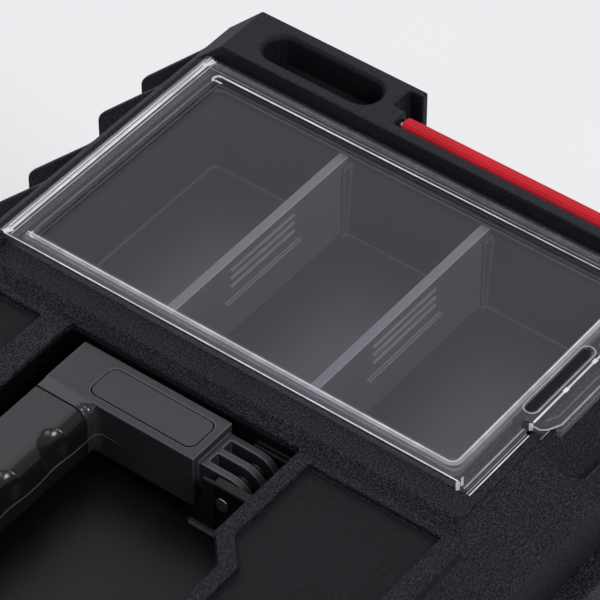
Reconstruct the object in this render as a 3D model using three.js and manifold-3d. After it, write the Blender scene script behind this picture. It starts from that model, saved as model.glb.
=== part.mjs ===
// Plastic toolbox: tub, hinged lid with two organizers under clear covers, a folding carry handle,
// end handles and front latches. Lengths are millimetres, X is the long way, +Y the back, +Z up.
import * as THREE from 'three';
import { mergeVertices } from 'three/addons/utils/BufferGeometryUtils.js';
import Module from 'manifold-3d';

const wasm = await Module();
wasm.setup();

// Overall box
const lidLength = 502.4;
const boxHeight = 240;
const lidHeight = 58;
const overallDepth = 291.8;
const finReach = 30.4;
const latchReach = 17.9;
const wall = 3;
const fitGap = 0.3;
const margin = 20;

// Lid levels and slopes
const deckDrop = 10.4;
const midDrop = 4;
const backChamfer = 16.5;
const frontChamfer = 32.6;
const recessDepth = 2.5;
const recessRidge = 6.4;

// Lid zones along the length
const earWidth = 26;
const bayDepth = 21.2;
const bayBackShare = 0.6172;
const bayFrontShare = 0.1971;
const baySill = 50;
const platformInner = 94.3;
const platformSlope = 4.6;

// Ear slot
const earSlotLength = 52;
const earSlotWidth = 14.4;
const earSlotDepth = 24;
const earSlotFlare = 1.6;
const earSlotShare = 0.7762;

// Handle pocket
const pocketBackShare = 0.768;
const pocketFrontShare = 0.3532;
const pocketStep = 10;
const stepOuter = 42.8;
const stepInner = 32;
const pocketDepth = 31.6;
const backRecessGap = 11.3;

// Notch in the ear's front end
const notchLength = 5.9;
const notchDepth = 14;
const notchWall = 2.2;

// Carry handle
const handleDrop = 3.4;
const handleGap = 1.7;
const handleBackGap = 7.4;
const armWidth = 21.8;
const armEndReach = 13.8;
const armHeight = 12.6;
const pivotInset = 14;
const pivotDrop = 11.9;
const knuckleRadius = 8.6;
const knuckleInner = 2.8;
const knuckleOuter = 1.4;
const knuckleSlot = 2.5;
const armChamfer = 2.5;
const ribCount = 3;
const hubShare = 1.7;
const ribWidth = 2.9;
const gripCollar = 5.7;
const gripDepth = 26;
const gripHeight = 23.5;
const coreInset = 6;
const scallopCount = 4;
const scallopPitch = 26;
const scallopSink = 2.6;
const inlayRim = 3.4;
const inlayBack = 16;
const inlayDepth = 1.6;
const inlayRadius = 3.4;
const pinRadius = 2.8;
const bracketWidth = 4.5;
const bracketRise = 8.4;

// Organizer bins
const binInsetInner = 7.4;
const binInsetOuter = 8.9;
const binInsetBack = 11;
const binInsetFront = 7.7;
const binFloor = 36;
const binWall = 1.6;
const binDraft = 3;
const binFlange = 2.6;
const binFlangeThick = 1.6;
const binRadius = 5;
const dividerThick = 3.8;
const dividerBackShare = 0.67;
const dividerFrontShare = 0.3255;
const guideRib = 1.2;
const guideReach = 2;
const gripRibs = 3;
const gripRibPitch = 4;
const gripRibHalf = 18.5;
const gripRibThick = 0.8;
const stopRibDrop = 18.4;
const stopRibHalf = 21.7;
const stopRibThick = 1.3;

// Organizer cover
const coverInsetInner = 9.5;
const coverInsetOuter = 1.1;
const coverInsetBack = 10.5;
const coverInsetFront = 8.1;
const coverRise = 4.4;
const coverPlate = 1.8;
const coverSkirt = 2;
const coverStep = 3.3;
const coverStepHigh = 2;
const coverRadius = 1.5;
const panelInsetInner = 7.2;
const panelInsetOuter = 6.7;
const panelInsetBack = 11;
const panelInsetFront = 6.2;
const panelSink = 2.2;
const panelRadius = 4;
const panelThick = 1.4;
const barrelRadius = 1.9;
const coverRodRadius = 0.9;
const bossWidth = 5;
const bossRadius = 3.4;
const tabWidth = 45.6;
const tabReach = 12.9;
const tabChamfer = 6;
const tabSkirt = 7.4;
const tabThick = 1.8;
const slotLength = 38;
const slotInset = 3.8;
const slotWidth = 5.3;
const scoopWidth = 49;
const scoopDepth = 5;
const scoopReach = 15;
const scoopRadius = 9;

// Hinge at the back
const hingeDrop = 62;
const hingeInset = 10;
const finRadius = 9.6;
const finThick = 3;
const finPairGap = 26.2;
const finInset = 29.7;
const finInner = 18.4;
const finPairs = 4;
const finRounding = 7;
const hingeRodRadius = 2.6;
const knuckleGap = 0.5;
const armRootDrop = 34;
const armSweepStartShare = 0.8;
const armSweepEndShare = 1.4;

// Tub
const shoulderFront = 9;
const shoulderSide = 1.8;
const shoulderThick = 9;
const tubTaper = 13;
const tubRadius = 14;
const rimRise = 3.4;
const rimThick = 2.4;
const rimGap = 0.6;
const footHeight = 4;
const footSize = 46;
const footInset = 26;
const ribHeight = 3;
const ribStep = 22;
const frontRibs = 5;
const ribDrop = 27;

// End handles
const endHandleGap = 2.15;
const endHandleThick = 5.1;
const endHandleHeight = 42;
const endHandleBar = 13;
const endBarrel = 3.9;
const endBarrelRim = 2;
const endRodRadius = 1.5;
const endCorner = 8;

// Front latches
const latchX = 62;
const latchWidth = 44;
const latchHeight = 46;
const latchThick = 3.4;
const latchRodRadius = 1.5;
const latchBarrel = 3.6;
const latchPivotDrop = 42;
const latchEar = 5;

const arcSteps = 4;
const circleSteps = 16;

// Levels and planes that follow from the sizes above
const halfLength = lidLength / 2;
const yBack = overallDepth / 2;
const yFront = -overallDepth / 2;
const lidBack = yBack - finReach;
const lidFront = yFront + latchReach;
const lidDepth = lidBack - lidFront;
const partingZ = boxHeight - lidHeight;
const deckZ = boxHeight - deckDrop;
const midZ = deckZ - midDrop;
const recessZ = midZ - recessDepth;
const wallX = halfLength - earWidth;
const bayX = halfLength - bayDepth;
const bayZ = boxHeight - baySill;
const bayBack = lidFront + lidDepth * bayBackShare;
const bayFront = lidFront + lidDepth * bayFrontShare;
const earSlotMiddle = lidFront + lidDepth * earSlotShare;
const midHalf = platformInner - platformSlope;
const backTop = lidBack - backChamfer;
const frontTop = lidFront + frontChamfer;
const pocketZ = midZ - pocketDepth;
const pocketBack = lidFront + lidDepth * pocketBackShare;
const pocketFront = lidFront + lidDepth * pocketFrontShare;
const backRecessStart = pocketBack + backRecessGap;
const handleTop = midZ - handleDrop;
const handleHalf = midHalf - handleGap;
const armInner = handleHalf - armWidth;
const gripHalf = armInner - gripCollar;
const handleBack = pocketBack - handleBackGap;
const pivotY = pocketFront + pivotInset;
const pivotZ = handleTop - pivotDrop;
const armEnd = pivotY + armEndReach;
const pinInner = armInner + knuckleInner - fitGap - bracketWidth;
const coverTop = deckZ + coverRise;
const coverInner = platformInner + coverInsetInner;
const coverOuter = wallX - coverInsetOuter;
const coverBack = lidBack - coverInsetBack;
const coverFront = deckEdgeAt(deckZ) + coverInsetFront;
const coverMiddle = coverInner + (coverOuter - coverInner) / 2;
const coverAxisZ = coverTop - barrelRadius;
const coverAxisY = coverBack - barrelRadius;
const panelInner = coverInner + panelInsetInner;
const panelOuter = coverOuter - panelInsetOuter;
const panelBack = coverBack - panelInsetBack;
const panelFront = coverFront + panelInsetFront;
const binInnerX = coverInner + binInsetInner;
const binOuterX = coverOuter - binInsetOuter;
const binBack = coverBack - binInsetBack;
const binFront = coverFront + binInsetFront;
const dividerBack = binFront + (binBack - binFront) * dividerBackShare;
const dividerFront = binFront + (binBack - binFront) * dividerFrontShare;
const tabFront = coverFront - tabReach;
const slotBack = coverFront + slotInset;
const slotFront = slotBack - slotWidth;
const finOuter = halfLength - finInset;
const finPitch = (finOuter - finInner) / (finPairs - 1);
const hingeZ = boxHeight - hingeDrop;
const hingeY = yBack - hingeInset;
const shoulderX = halfLength + shoulderSide;
const shoulderY = lidFront - shoulderFront;
const tubBack = lidBack + shoulderSide;
const latchY = lidFront - latchReach / 2;
const latchZ = boxHeight - latchPivotDrop;
const endAxisX = bayX + fitGap + endBarrel;
const endAxisZ = boxHeight - endBarrel;

function manifoldOf(positions, triangles) {
  const geometry = new THREE.BufferGeometry();
  geometry.setAttribute('position', new THREE.Float32BufferAttribute(positions.flat(), 3));
  geometry.setIndex(triangles.flat());
  const merged = mergeVertices(geometry);
  return new wasm.Manifold(new wasm.Mesh({
    numProp: 3,
    vertProperties: new Float32Array(merged.attributes.position.array),
    triVerts: new Uint32Array(merged.index.array),
  }));
}

// A body between flat rings of equally many points: each ring is a list of [x, y, z]
function loft(given, outline) {
  const backwards = THREE.ShapeUtils.area(outline.map(([a, b]) => new THREE.Vector2(a, b))) < 0;
  const ordered = (points) => (backwards ? [...points].reverse() : points);
  const rings = given.map(ordered);
  const flat = ordered(outline);
  const count = flat.length;
  const positions = rings.flat();
  const triangles = [];
  rings.slice(1).forEach((_, layer) => {
    const low = layer * count;
    for (let i = 0; i < count; i += 1) {
      const a = low + i;
      const b = low + ((i + 1) % count);
      triangles.push([a, b, b + count], [a, b + count, a + count]);
    }
  });
  const contour = flat.map(([a, b]) => new THREE.Vector2(a, b));
  const top = positions.length - count;
  THREE.ShapeUtils.triangulateShape(contour, []).forEach(([a, b, c]) => {
    triangles.push([a, c, b], [top + a, top + b, top + c]);
  });
  const volume = triangles.reduce((sum, [a, b, c]) => {
    const [p, q, r] = [a, b, c].map((i) => new THREE.Vector3(...positions[i]));
    return sum + p.dot(q.cross(r));
  }, 0);
  const facing = volume < 0 ? triangles.map(([a, b, c]) => [a, c, b]) : triangles;
  return manifoldOf(positions, facing);
}

const prismX = (points, low, high) => loft(
  [low, high].map((x) => points.map(([y, z]) => [x, y, z])), points);
const prismY = (points, low, high) => loft(
  [low, high].map((y) => points.map(([x, z]) => [x, y, z])), points);
const prismZ = (points, low, high) => loft(
  [low, high].map((z) => points.map(([x, y]) => [x, y, z])), points);

function rect(left, right, front, back) {
  return [[left, front], [right, front], [right, back], [left, back]];
}

const block = (x0, x1, y0, y1, z0, z1) => prismZ(rect(x0, x1, y0, y1), z0, z1);

function arc(x, y, radius, from, to, steps) {
  return Array.from({ length: steps + 1 }, (_, i) => {
    const angle = from + ((to - from) * i) / steps;
    return [x + radius * Math.cos(angle), y + radius * Math.sin(angle)];
  });
}

const quarter = Math.PI / 2;

function roundRect(left, right, front, back, radius) {
  return [
    ...arc(left + radius, front + radius, radius, -2 * quarter, -quarter, arcSteps),
    ...arc(right - radius, front + radius, radius, -quarter, 0, arcSteps),
    ...arc(right - radius, back - radius, radius, 0, quarter, arcSteps),
    ...arc(left + radius, back - radius, radius, quarter, 2 * quarter, arcSteps),
  ];
}

function circle(x, y, radius) {
  return arc(x, y, radius, 0, 4 * quarter, circleSteps).slice(1);
}

const rod = (y, z, radius, low, high) => prismX(circle(y, z, radius), low, high);

// A rounded box whose outline changes between two levels
function tapered(lower, upper, z0, z1) {
  return loft([lower.map(([x, y]) => [x, y, z0]), upper.map(([x, y]) => [x, y, z1])], lower);
}

const joined = (solids) => solids.reduce((all, one) => all.add(one));
const without = (solid, cuts) => cuts.reduce((all, one) => all.subtract(one), solid);

function meshOf(solid) {
  const raw = solid.getMesh();
  const geometry = new THREE.BufferGeometry();
  geometry.setAttribute('position', new THREE.BufferAttribute(new Float32Array(raw.vertProperties), 3));
  geometry.setIndex(new THREE.BufferAttribute(new Uint32Array(raw.triVerts), 1));
  return geometry;
}

// The same body on the other side of the middle plane
function mirroredGeometry(geometry) {
  const copy = geometry.clone();
  copy.applyMatrix4(new THREE.Matrix4().makeScale(-1, 1, 1));
  const index = copy.index.array;
  for (let i = 0; i < index.length; i += 3) {
    [index[i + 1], index[i + 2]] = [index[i + 2], index[i + 1]];
  }
  return copy;
}

function mirrored(solid) {
  const copy = mirroredGeometry(meshOf(solid));
  return new wasm.Manifold(new wasm.Mesh({
    numProp: 3,
    vertProperties: new Float32Array(copy.attributes.position.array),
    triVerts: new Uint32Array(copy.index.array),
  }));
}

const bothSides = (solid) => solid.add(mirrored(solid));

const material = (name, color, roughness, extra) => {
  const made = new THREE.MeshStandardMaterial({ color, roughness, ...extra });
  made.name = name;
  return made;
};

const materials = {
  black: material('black_plastic', 0x242428, 0.6),
  handle: material('handle_plastic', 0x444449, 0.5),
  bin: material('bin_plastic', 0x55555a, 0.5),
  clear: material('clear_plastic', 0xe4e8ea, 0.1, { transparent: true, opacity: 0.3 }),
  red: material('red_plastic', 0xd92a36, 0.45),
  steel: material('steel', 0xb4b6ba, 0.35, { metalness: 1 }),
};

// The lid

// The lid's section, drawn in by an inset on every face but the open bottom
function lidProfile(inset, bottom) {
  const slant = inset * (Math.SQRT2 - 1);
  return [
    [lidFront + inset, bottom],
    [lidBack - inset, bottom],
    [lidBack - inset, boxHeight - backChamfer - slant],
    [backTop - slant, boxHeight - inset],
    [frontTop + slant, boxHeight - inset],
    [lidFront + inset, boxHeight - frontChamfer - slant],
  ];
}

// The valley between the end walls, with the lower middle deck for the handle
function valley(inset) {
  const high = boxHeight + margin;
  const outer = wallX + inset;
  const right = [[outer, high], [outer, deckZ - inset], [platformInner, deckZ - inset],
    [midHalf, midZ - inset]];
  const left = right.map(([x, z]) => [-x, z]).reverse();
  return prismY([...right, ...left], yFront - margin, yBack + margin);
}

function bay(inset) {
  return block(bayX - inset, halfLength + margin, bayFront - inset, bayBack + inset,
    bayZ - inset, boxHeight + margin);
}

function lidBlock(inset, bottom) {
  const body = prismX(lidProfile(inset, bottom), -halfLength + inset, halfLength - inset);
  return without(body, [valley(inset), bothSides(bay(inset))]);
}

function pocketOutline(inset) {
  const outer = midHalf + inset;
  const front = pocketFront - inset;
  const right = [[stepInner + inset, front - pocketStep], [stepOuter + inset, front],
    [outer, front], [outer, pocketBack + inset]];
  const left = right.map(([x, y]) => [-x, y]).reverse();
  return [...right, ...left];
}

function frontRecess() {
  const outer = midHalf - recessRidge / 2;
  const front = deckEdgeAt(midZ) + recessRidge;
  const back = pocketFront - recessRidge;
  const right = [[outer, front], [outer, back], [stepOuter + recessRidge / 2, back],
    [stepInner + recessRidge / 2, back - pocketStep]];
  const left = right.map(([x, y]) => [-x, y]).reverse();
  return prismZ([...right, ...left], recessZ, boxHeight);
}

function deckEdgeAt(level) {
  return frontTop - (boxHeight - level);
}

function backRecess() {
  const outer = midHalf - recessRidge / 2;
  const back = backTop + (boxHeight - midZ) - recessRidge;
  return block(-outer, outer, backRecessStart, back, recessZ, boxHeight);
}

function earSlot(inset) {
  const middleX = wallX + (halfLength - wallX) / 2;
  const half = earSlotWidth / 2 + inset;
  const reach = earSlotLength / 2 + inset;
  const outline = roundRect(middleX - half, middleX + half, earSlotMiddle - reach,
    earSlotMiddle + reach, half - fitGap);
  const deep = prismZ(outline, boxHeight - earSlotDepth - inset, boxHeight);
  const wide = half + earSlotFlare;
  const mouth = roundRect(middleX - wide, middleX + wide, earSlotMiddle - reach - earSlotFlare,
    earSlotMiddle + reach + earSlotFlare, half - fitGap + earSlotFlare);
  return deep.add(tapered(outline, mouth, boxHeight - earSlotFlare, boxHeight + fitGap));
}

// The pocket in the ear's front end, beside the end handle's rod
function earNotch(inset) {
  const inner = endAxisX + endRodRadius + notchWall;
  return block(inner - inset, halfLength - wall, bayBack - wall, bayBack + notchLength + inset,
    boxHeight - notchDepth - inset, boxHeight + (inset ? 0 : margin));
}

function binOutline(inset) {
  return roundRect(binInnerX - inset, binOuterX + inset, binFront - inset, binBack + inset, binRadius);
}

function binOpening() {
  const through = prismZ(binOutline(binWall + fitGap), partingZ, boxHeight);
  const ledge = deckZ - binFlangeThick - fitGap;
  const seat = prismZ(binOutline(binWall + binFlange + fitGap), ledge, boxHeight);
  return through.add(seat);
}

// Bracket plates at both sides of the knuckle, inside the pocket, that carry the handle's pin
function pinBrackets() {
  const inner = armInner + knuckleInner - fitGap - bracketWidth;
  const outer = handleHalf - knuckleOuter + fitGap;
  const top = pivotZ + bracketRise;
  const back = pivotY + bracketRise;
  const front = pocketFront - wall / 2;
  const foot = pocketZ - wall / 2;
  const plate = [[front, foot], [back + bracketRise, foot], [back, top - bracketRise],
    [back - bracketRise / 2, top], [front, top]];
  return prismX(plate, inner, inner + bracketWidth).add(prismX(plate, outer, midHalf + wall / 2));
}

function coverBoss() {
  const outer = coverInner - fitGap;
  const round = circle(coverAxisY, coverAxisZ, bossRadius);
  const foot = block(outer - bossWidth, outer, coverAxisY - bossRadius, coverAxisY + bossRadius,
    deckZ - wall / 2, coverAxisZ);
  return prismX(round, outer - bossWidth, outer).add(foot);
}

// The finger scoop under a cover's tab, sunk into the front slope
function latchScoop(inset) {
  const half = scoopWidth / 2 + inset;
  const edge = deckEdgeAt(deckZ);
  const sunk = scoopDepth + inset * Math.SQRT2;
  const outline = roundRect(coverMiddle - half, coverMiddle + half, edge - scoopReach - inset,
    edge + sunk, scoopRadius);
  const far = edge - margin - scoopReach;
  const low = deckZ - margin - scoopReach;
  const band = [[edge + sunk, deckZ + margin], [far, deckZ + margin], [far, low], [far + sunk, low],
    [edge + sunk, deckZ]];
  return prismZ(outline, partingZ, boxHeight).intersect(prismX(band, coverInner, coverOuter));
}

function finProfile() {
  const top = boxHeight - (yBack - backTop);
  const round = arc(hingeY, hingeZ, finRadius, 0, -2 * quarter, arcSteps * 2);
  return [
    [lidBack - wall / 2, boxHeight - (lidBack - wall / 2 - backTop)],
    ...arc(yBack - finRounding, top - finRounding * (Math.SQRT2 - 1), finRounding, 0, quarter / 2,
      arcSteps).reverse(),
    [yBack, hingeZ],
    ...round.slice(1),
    [hingeY - finRadius, hingeZ + finRadius / 2],
    [lidBack + shoulderSide, partingZ + fitGap * 2],
    [lidBack - wall / 2, partingZ + fitGap * 2],
  ];
}

const finCentres = Array.from({ length: finPairs }, (_, i) => finOuter - finPitch * i);

function fins() {
  const made = finCentres.flatMap((x) => [-1, 1].map((side) => {
    const middle = x + (side * finPairGap) / 2;
    return prismX(finProfile(), middle - finThick / 2, middle + finThick / 2);
  }));
  return bothSides(joined(made));
}

const endRodBore = () => rodY(endAxisX, endAxisZ, endRodRadius + fitGap, bayFront - wall, bayBack + wall);

function rodY(x, z, radius, low, high) {
  return prismY(circle(x, z, radius), low, high);
}

// Ears that carry a front latch's rod
function latchEars() {
  const half = latchWidth / 2 + fitGap;
  const made = [-1, 1].map((side) => {
    const inner = latchX + side * half;
    const outer = inner + side * latchEar;
    const profile = [[lidFront + wall / 2, latchZ - latchBarrel * 2],
      ...arc(latchY, latchZ, latchBarrel, -quarter, -3 * quarter, arcSteps),
      [lidFront + wall / 2, latchZ + latchBarrel * 2]];
    return prismX(profile, Math.min(inner, outer), Math.max(inner, outer));
  });
  return bothSides(joined(made));
}

function lidShell() {
  const skin = lidBlock(0, partingZ + fitGap);
  const keep = prismZ(pocketOutline(wall), pocketZ - wall, boxHeight + margin)
    .add(bothSides(earSlot(wall).add(latchScoop(wall)).add(earNotch(wall))));
  const hollow = lidBlock(wall, partingZ - margin).subtract(keep);
  const pocket = prismZ(pocketOutline(0), pocketZ, boxHeight + margin);
  const opened = without(skin, [hollow, pocket, frontRecess(), backRecess(),
    bothSides(joined([earSlot(0), binOpening(), latchScoop(0), earNotch(0)]))]);
  const carried = joined([opened, bothSides(pinBrackets()), bothSides(coverBoss()), fins(), latchEars()]);
  return without(carried, [
    bothSides(rod(pivotY, pivotZ, pinRadius + fitGap, pinInner - margin / 2, midHalf + wall / 2)),
    bothSides(rod(coverAxisY, coverAxisZ, coverRodRadius + fitGap, coverInner - bossWidth * 2,
      wallX + wall)),
    rod(hingeY, hingeZ, hingeRodRadius + fitGap, -halfLength, halfLength),
    bothSides(endRodBore()),
    bothSides(rod(latchY, latchZ, latchRodRadius + fitGap, latchX - latchWidth, latchX + latchWidth)),
  ]);
}

// Organizer bins, dividers and covers

function binSolid() {
  const floor = deckZ - binFloor;
  const drawn = (inset) => roundRect(binInnerX + inset, binOuterX - inset, binFront + inset / 2,
    binBack - inset / 2, binRadius - inset / 2);
  const outer = tapered(drawn(binDraft - binWall), drawn(-binWall), floor - binWall, deckZ);
  const inner = tapered(drawn(binDraft), drawn(0), floor, deckZ + fitGap);
  const flange = prismZ(binOutline(binWall + binFlange), deckZ - binFlangeThick, deckZ);
  const shell = outer.add(flange).subtract(inner);
  const guides = [dividerBack, dividerFront].flatMap((y) => [-1, 1].flatMap((side) => {
    const near = y + side * (dividerThick / 2 + fitGap + guideRib / 2);
    return [binInnerX - binWall / 2, binOuterX - guideReach - binDraft].map((x) => block(
      x, x + guideReach + binDraft + binWall / 2, near - guideRib / 2, near + guideRib / 2,
      floor - binWall / 2, deckZ - binFlangeThick * 2));
  }));
  return shell.add(joined(guides));
}

// A loose wall in the bin, with grip ribs on its front face
function divider(y) {
  const floor = deckZ - binFloor + fitGap;
  const top = deckZ - fitGap;
  const half = dividerThick / 2;
  const left = binInnerX + fitGap;
  const right = binOuterX - fitGap;
  const draft = binDraft + fitGap;
  const plate = prismY([[left + draft, floor], [right - draft, floor], [right, top], [left, top]],
    y - half, y + half);
  const middle = (left + right) / 2;
  const raised = (drop, reach, thick) => block(middle - reach, middle + reach, y - half - thick,
    y - half + fitGap, top - drop - thick, top - drop);
  const ribs = Array.from({ length: gripRibs }, (_, i) => (
    raised((i + 1) * gripRibPitch, gripRibHalf, gripRibThick)));
  return joined([plate, ...ribs, raised(stopRibDrop, stopRibHalf, stopRibThick)]);
}

function coverPlateOutline() {
  return roundRect(coverInner, coverOuter, coverFront, coverAxisY, coverRadius);
}

function coverSolid() {
  const low = deckZ + fitGap;
  const body = prismZ(coverPlateOutline(), low, coverTop);
  const foot = prismZ(roundRect(coverInner, coverOuter, coverFront - coverStep, coverAxisY - margin,
    coverRadius), low, low + coverStepHigh);
  const hollow = prismZ(roundRect(coverInner + coverSkirt, coverOuter - coverSkirt,
    coverFront + coverSkirt / 2, coverAxisY - barrelRadius - fitGap, coverRadius),
  low - margin, coverTop - coverPlate);
  const sunk = prismZ(roundRect(panelInner, panelOuter, panelFront, panelBack, panelRadius),
    coverTop - panelSink, coverTop + margin);
  const panel = prismZ(roundRect(panelInner - coverPlate / 2, panelOuter + coverPlate / 2,
    panelFront - coverPlate / 2, panelBack + coverPlate / 2, panelRadius + coverPlate / 2),
  coverTop - panelSink - panelThick, coverTop - coverPlate / 2);
  const cutFoot = foot.subtract(prismZ(rect(coverInner + coverSkirt, coverOuter - coverSkirt,
    coverFront + coverSkirt / 2, coverBack), low - margin, coverTop));
  const shell = joined([body.subtract(hollow), panel, cutFoot]).subtract(sunk);
  const barrel = rod(coverAxisY, coverAxisZ, barrelRadius, coverInner, coverOuter);
  const notch = block(coverMiddle - tabWidth / 2 - coverRadius, coverMiddle + tabWidth / 2 + coverRadius,
    coverFront - coverStep - fitGap, coverFront, low - fitGap, coverTop);
  const slot = prismZ(roundRect(coverMiddle - slotLength / 2, coverMiddle + slotLength / 2, slotFront,
    slotBack, (slotBack - slotFront) / 2 - fitGap / 2), low - margin, coverTop + margin);
  const whole = joined([shell.subtract(notch), barrel, tab()]);
  return without(whole, [slot, underBarrel(),
    rod(coverAxisY, coverAxisZ, coverRodRadius + fitGap, coverInner - margin, coverOuter + margin)]);
}

// Clears the body beside the hinge barrel, so that the cover can swing up
function underBarrel() {
  const corner = rect(coverAxisY, coverAxisY + margin, deckZ - margin, coverAxisZ);
  return prismX(corner, coverInner - margin, coverOuter + margin).subtract(
    rod(coverAxisY, coverAxisZ, barrelRadius, coverInner - margin, coverOuter + margin));
}

// The tab that is pressed to free the cover: a plate with slanted ends and a hooked skirt
function tab() {
  const left = coverMiddle - tabWidth / 2;
  const right = coverMiddle + tabWidth / 2;
  const root = coverFront + coverSkirt / 2;
  const outline = [[left, root], [left, tabFront + tabChamfer], [left + tabChamfer, tabFront],
    [right - tabChamfer, tabFront], [right, tabFront + tabChamfer], [right, root]];
  const top = coverTop - fitGap;
  const plate = prismZ(outline, top - tabThick, top);
  const edge = prismZ(outline, top - tabThick - coverPlate, top);
  const inner = prismZ(roundRect(left + tabThick, right - tabThick, tabFront + tabThick,
    coverFront + margin, coverRadius), top - margin, top - tabThick);
  const skirtFront = tabFront + tabThick / 2;
  const skirt = block(left + tabChamfer, right - tabChamfer, skirtFront, skirtFront + tabThick,
    top - tabSkirt, top - tabThick / 2);
  return joined([plate, edge.subtract(inner), skirt]);
}

const coverRod = () => rod(coverAxisY, coverAxisZ, coverRodRadius, coverInner - bossWidth,
  wallX + wall - fitGap);

// The carry handle

function armSolid() {
  const bottom = handleTop - armHeight;
  const corner = handleTop - gripHeight;
  const front = handleBack - gripDepth;
  const profile = [[armEnd, bottom], [armEnd + armHeight / 2, bottom + armChamfer],
    [front - armHeight / 2, bottom], [front, corner + armChamfer], [front + armChamfer, corner],
    [handleBack - armChamfer, corner], [handleBack, corner + armChamfer], [handleBack, handleTop],
    [armEnd, handleTop]];
  return prismX(profile, armInner, handleHalf);
}

function knuckles() {
  const inner = armInner + knuckleInner;
  const span = armWidth - knuckleInner - knuckleOuter;
  const pitch = (span - ribWidth) / (ribCount - 1);
  const top = pivotZ + knuckleRadius;
  const low = pivotZ - knuckleRadius / 2;
  const ribs = Array.from({ length: ribCount }, (_, i) => {
    const left = inner + pitch * i;
    const web = block(left, left + ribWidth, pivotY, armEnd + fitGap, low, top);
    return web.add(prismX(circle(pivotY, pivotZ, knuckleRadius), left, left + ribWidth));
  });
  const hub = rod(pivotY, pivotZ, pinRadius * hubShare, inner, inner + span);
  const root = block(inner, inner + span, pivotY + knuckleRadius + knuckleSlot, armEnd + fitGap, low, top);
  return joined([...ribs, hub, root]);
}

function handleFrame() {
  const arms = armSolid();
  const corner = block(gripHalf, armInner + fitGap, handleBack - gripDepth + coreInset / 2, handleBack,
    handleTop - gripHeight + coreInset / 2, handleTop);
  const inlaySeat = prismZ(inlayOutline(0), handleTop - inlayDepth - fitGap, handleTop + margin);
  const side = joined([arms, corner, knuckles()]).subtract(inlaySeat);
  const core = block(-gripHalf - fitGap, gripHalf + fitGap, handleBack - gripDepth + coreInset,
    handleBack - coreInset, handleTop - gripHeight + coreInset, handleTop - coreInset);
  const bore = rod(pivotY, pivotZ, pinRadius + fitGap, armInner - margin, handleHalf + margin);
  return bothSides(side.subtract(bore)).add(core);
}

function inlayOutline(inset) {
  return roundRect(armInner + inlayRim + inset, handleHalf - inlayRim - inset,
    armEnd + inlayRim + inset, handleBack - inlayBack - inset, inlayRadius);
}

const inlay = () => prismZ(inlayOutline(fitGap), handleTop - inlayDepth, handleTop);

function gripSolid() {
  const front = handleBack - gripDepth;
  const low = handleTop - gripHeight;
  const section = roundRect(front, handleBack, low, handleTop, coreInset);
  const sleeve = prismX(section, -gripHalf + fitGap, gripHalf - fitGap);
  const bore = block(-gripHalf, gripHalf, front + coreInset - fitGap, handleBack - coreInset + fitGap,
    low + coreInset - fitGap, handleTop - coreInset + fitGap);
  const radius = (scallopPitch * scallopPitch) / (scallopSink * 8) + scallopSink / 2;
  const first = (-scallopPitch * (scallopCount - 1)) / 2;
  const waves = (base) => Array.from({ length: scallopCount }, (_, i) => {
    const x = first + i * scallopPitch;
    const sweep = Math.asin(scallopPitch / (2 * radius));
    const centre = base + scallopSink - radius;
    const curve = arc(x, centre, radius, quarter - sweep, quarter + sweep, arcSteps * 2);
    const mouth = base - scallopSink;
    return [[x - scallopPitch / 2, mouth], [x + scallopPitch / 2, mouth], ...curve];
  });
  const below = waves(low).map((shape) => prismY(shape, front - margin, handleBack + margin));
  const before = waves(front).map((shape) => prismZ(shape, low - margin, handleTop - coreInset / 2));
  return without(sleeve, [bore, ...below, ...before]);
}

const handlePin = () => rod(pivotY, pivotZ, pinRadius, pinInner, midHalf + wall / 2 - fitGap);

// The end handles

function endHandle() {
  const low = bayFront + endHandleGap;
  const high = bayBack - endHandleGap;
  const face = endAxisX + endHandleThick / 2;
  const back = endAxisX - endHandleThick / 2;
  const bottom = boxHeight - endHandleHeight;
  const outline = roundRect(low, high, bottom, endAxisZ + endBarrel / 2, endCorner);
  const plate = prismX(outline, back, face);
  const hole = prismX(roundRect(low + endHandleBar, high - endHandleBar, bottom + endHandleBar,
    endAxisZ - endBarrel - endBarrelRim, endCorner / 2), back - margin, face + margin);
  const barrel = rodY(endAxisX, endAxisZ, endBarrel, low, high);
  return without(plate.subtract(hole).add(barrel), [
    rodY(endAxisX, endAxisZ, endRodRadius + fitGap, low - margin, high + margin)]);
}

const endRod = () => rodY(endAxisX, endAxisZ, endRodRadius, bayFront - wall + fitGap,
  bayBack + wall - fitGap);

// The front latches

function frontLatch() {
  const left = latchX - latchWidth / 2;
  const right = latchX + latchWidth / 2;
  const face = yFront;
  const inner = face + latchThick;
  const bottom = latchZ - latchHeight;
  const top = latchZ + latchBarrel;
  const plate = prismY(roundRect(left, right, bottom, top, latchBarrel), face, inner);
  const barrel = rod(latchY, latchZ, latchBarrel, left, right);
  const bridge = block(left, right, face, latchY, latchZ - latchBarrel, latchZ + latchBarrel / 2);
  const lip = block(left + latchBarrel, right - latchBarrel, face, inner + latchBarrel, bottom,
    bottom + latchThick);
  return without(joined([plate, barrel, bridge, lip]), [
    rod(latchY, latchZ, latchRodRadius + fitGap, left - margin, right + margin)]);
}

const latchRod = () => rod(latchY, latchZ, latchRodRadius, latchX - latchWidth / 2 - latchEar,
  latchX + latchWidth / 2 + latchEar);

// The tub

function tubOutline(inset, taper) {
  return roundRect(-shoulderX + inset + taper, shoulderX - inset - taper, shoulderY + inset + taper,
    tubBack - inset - taper / 2, tubRadius);
}

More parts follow.
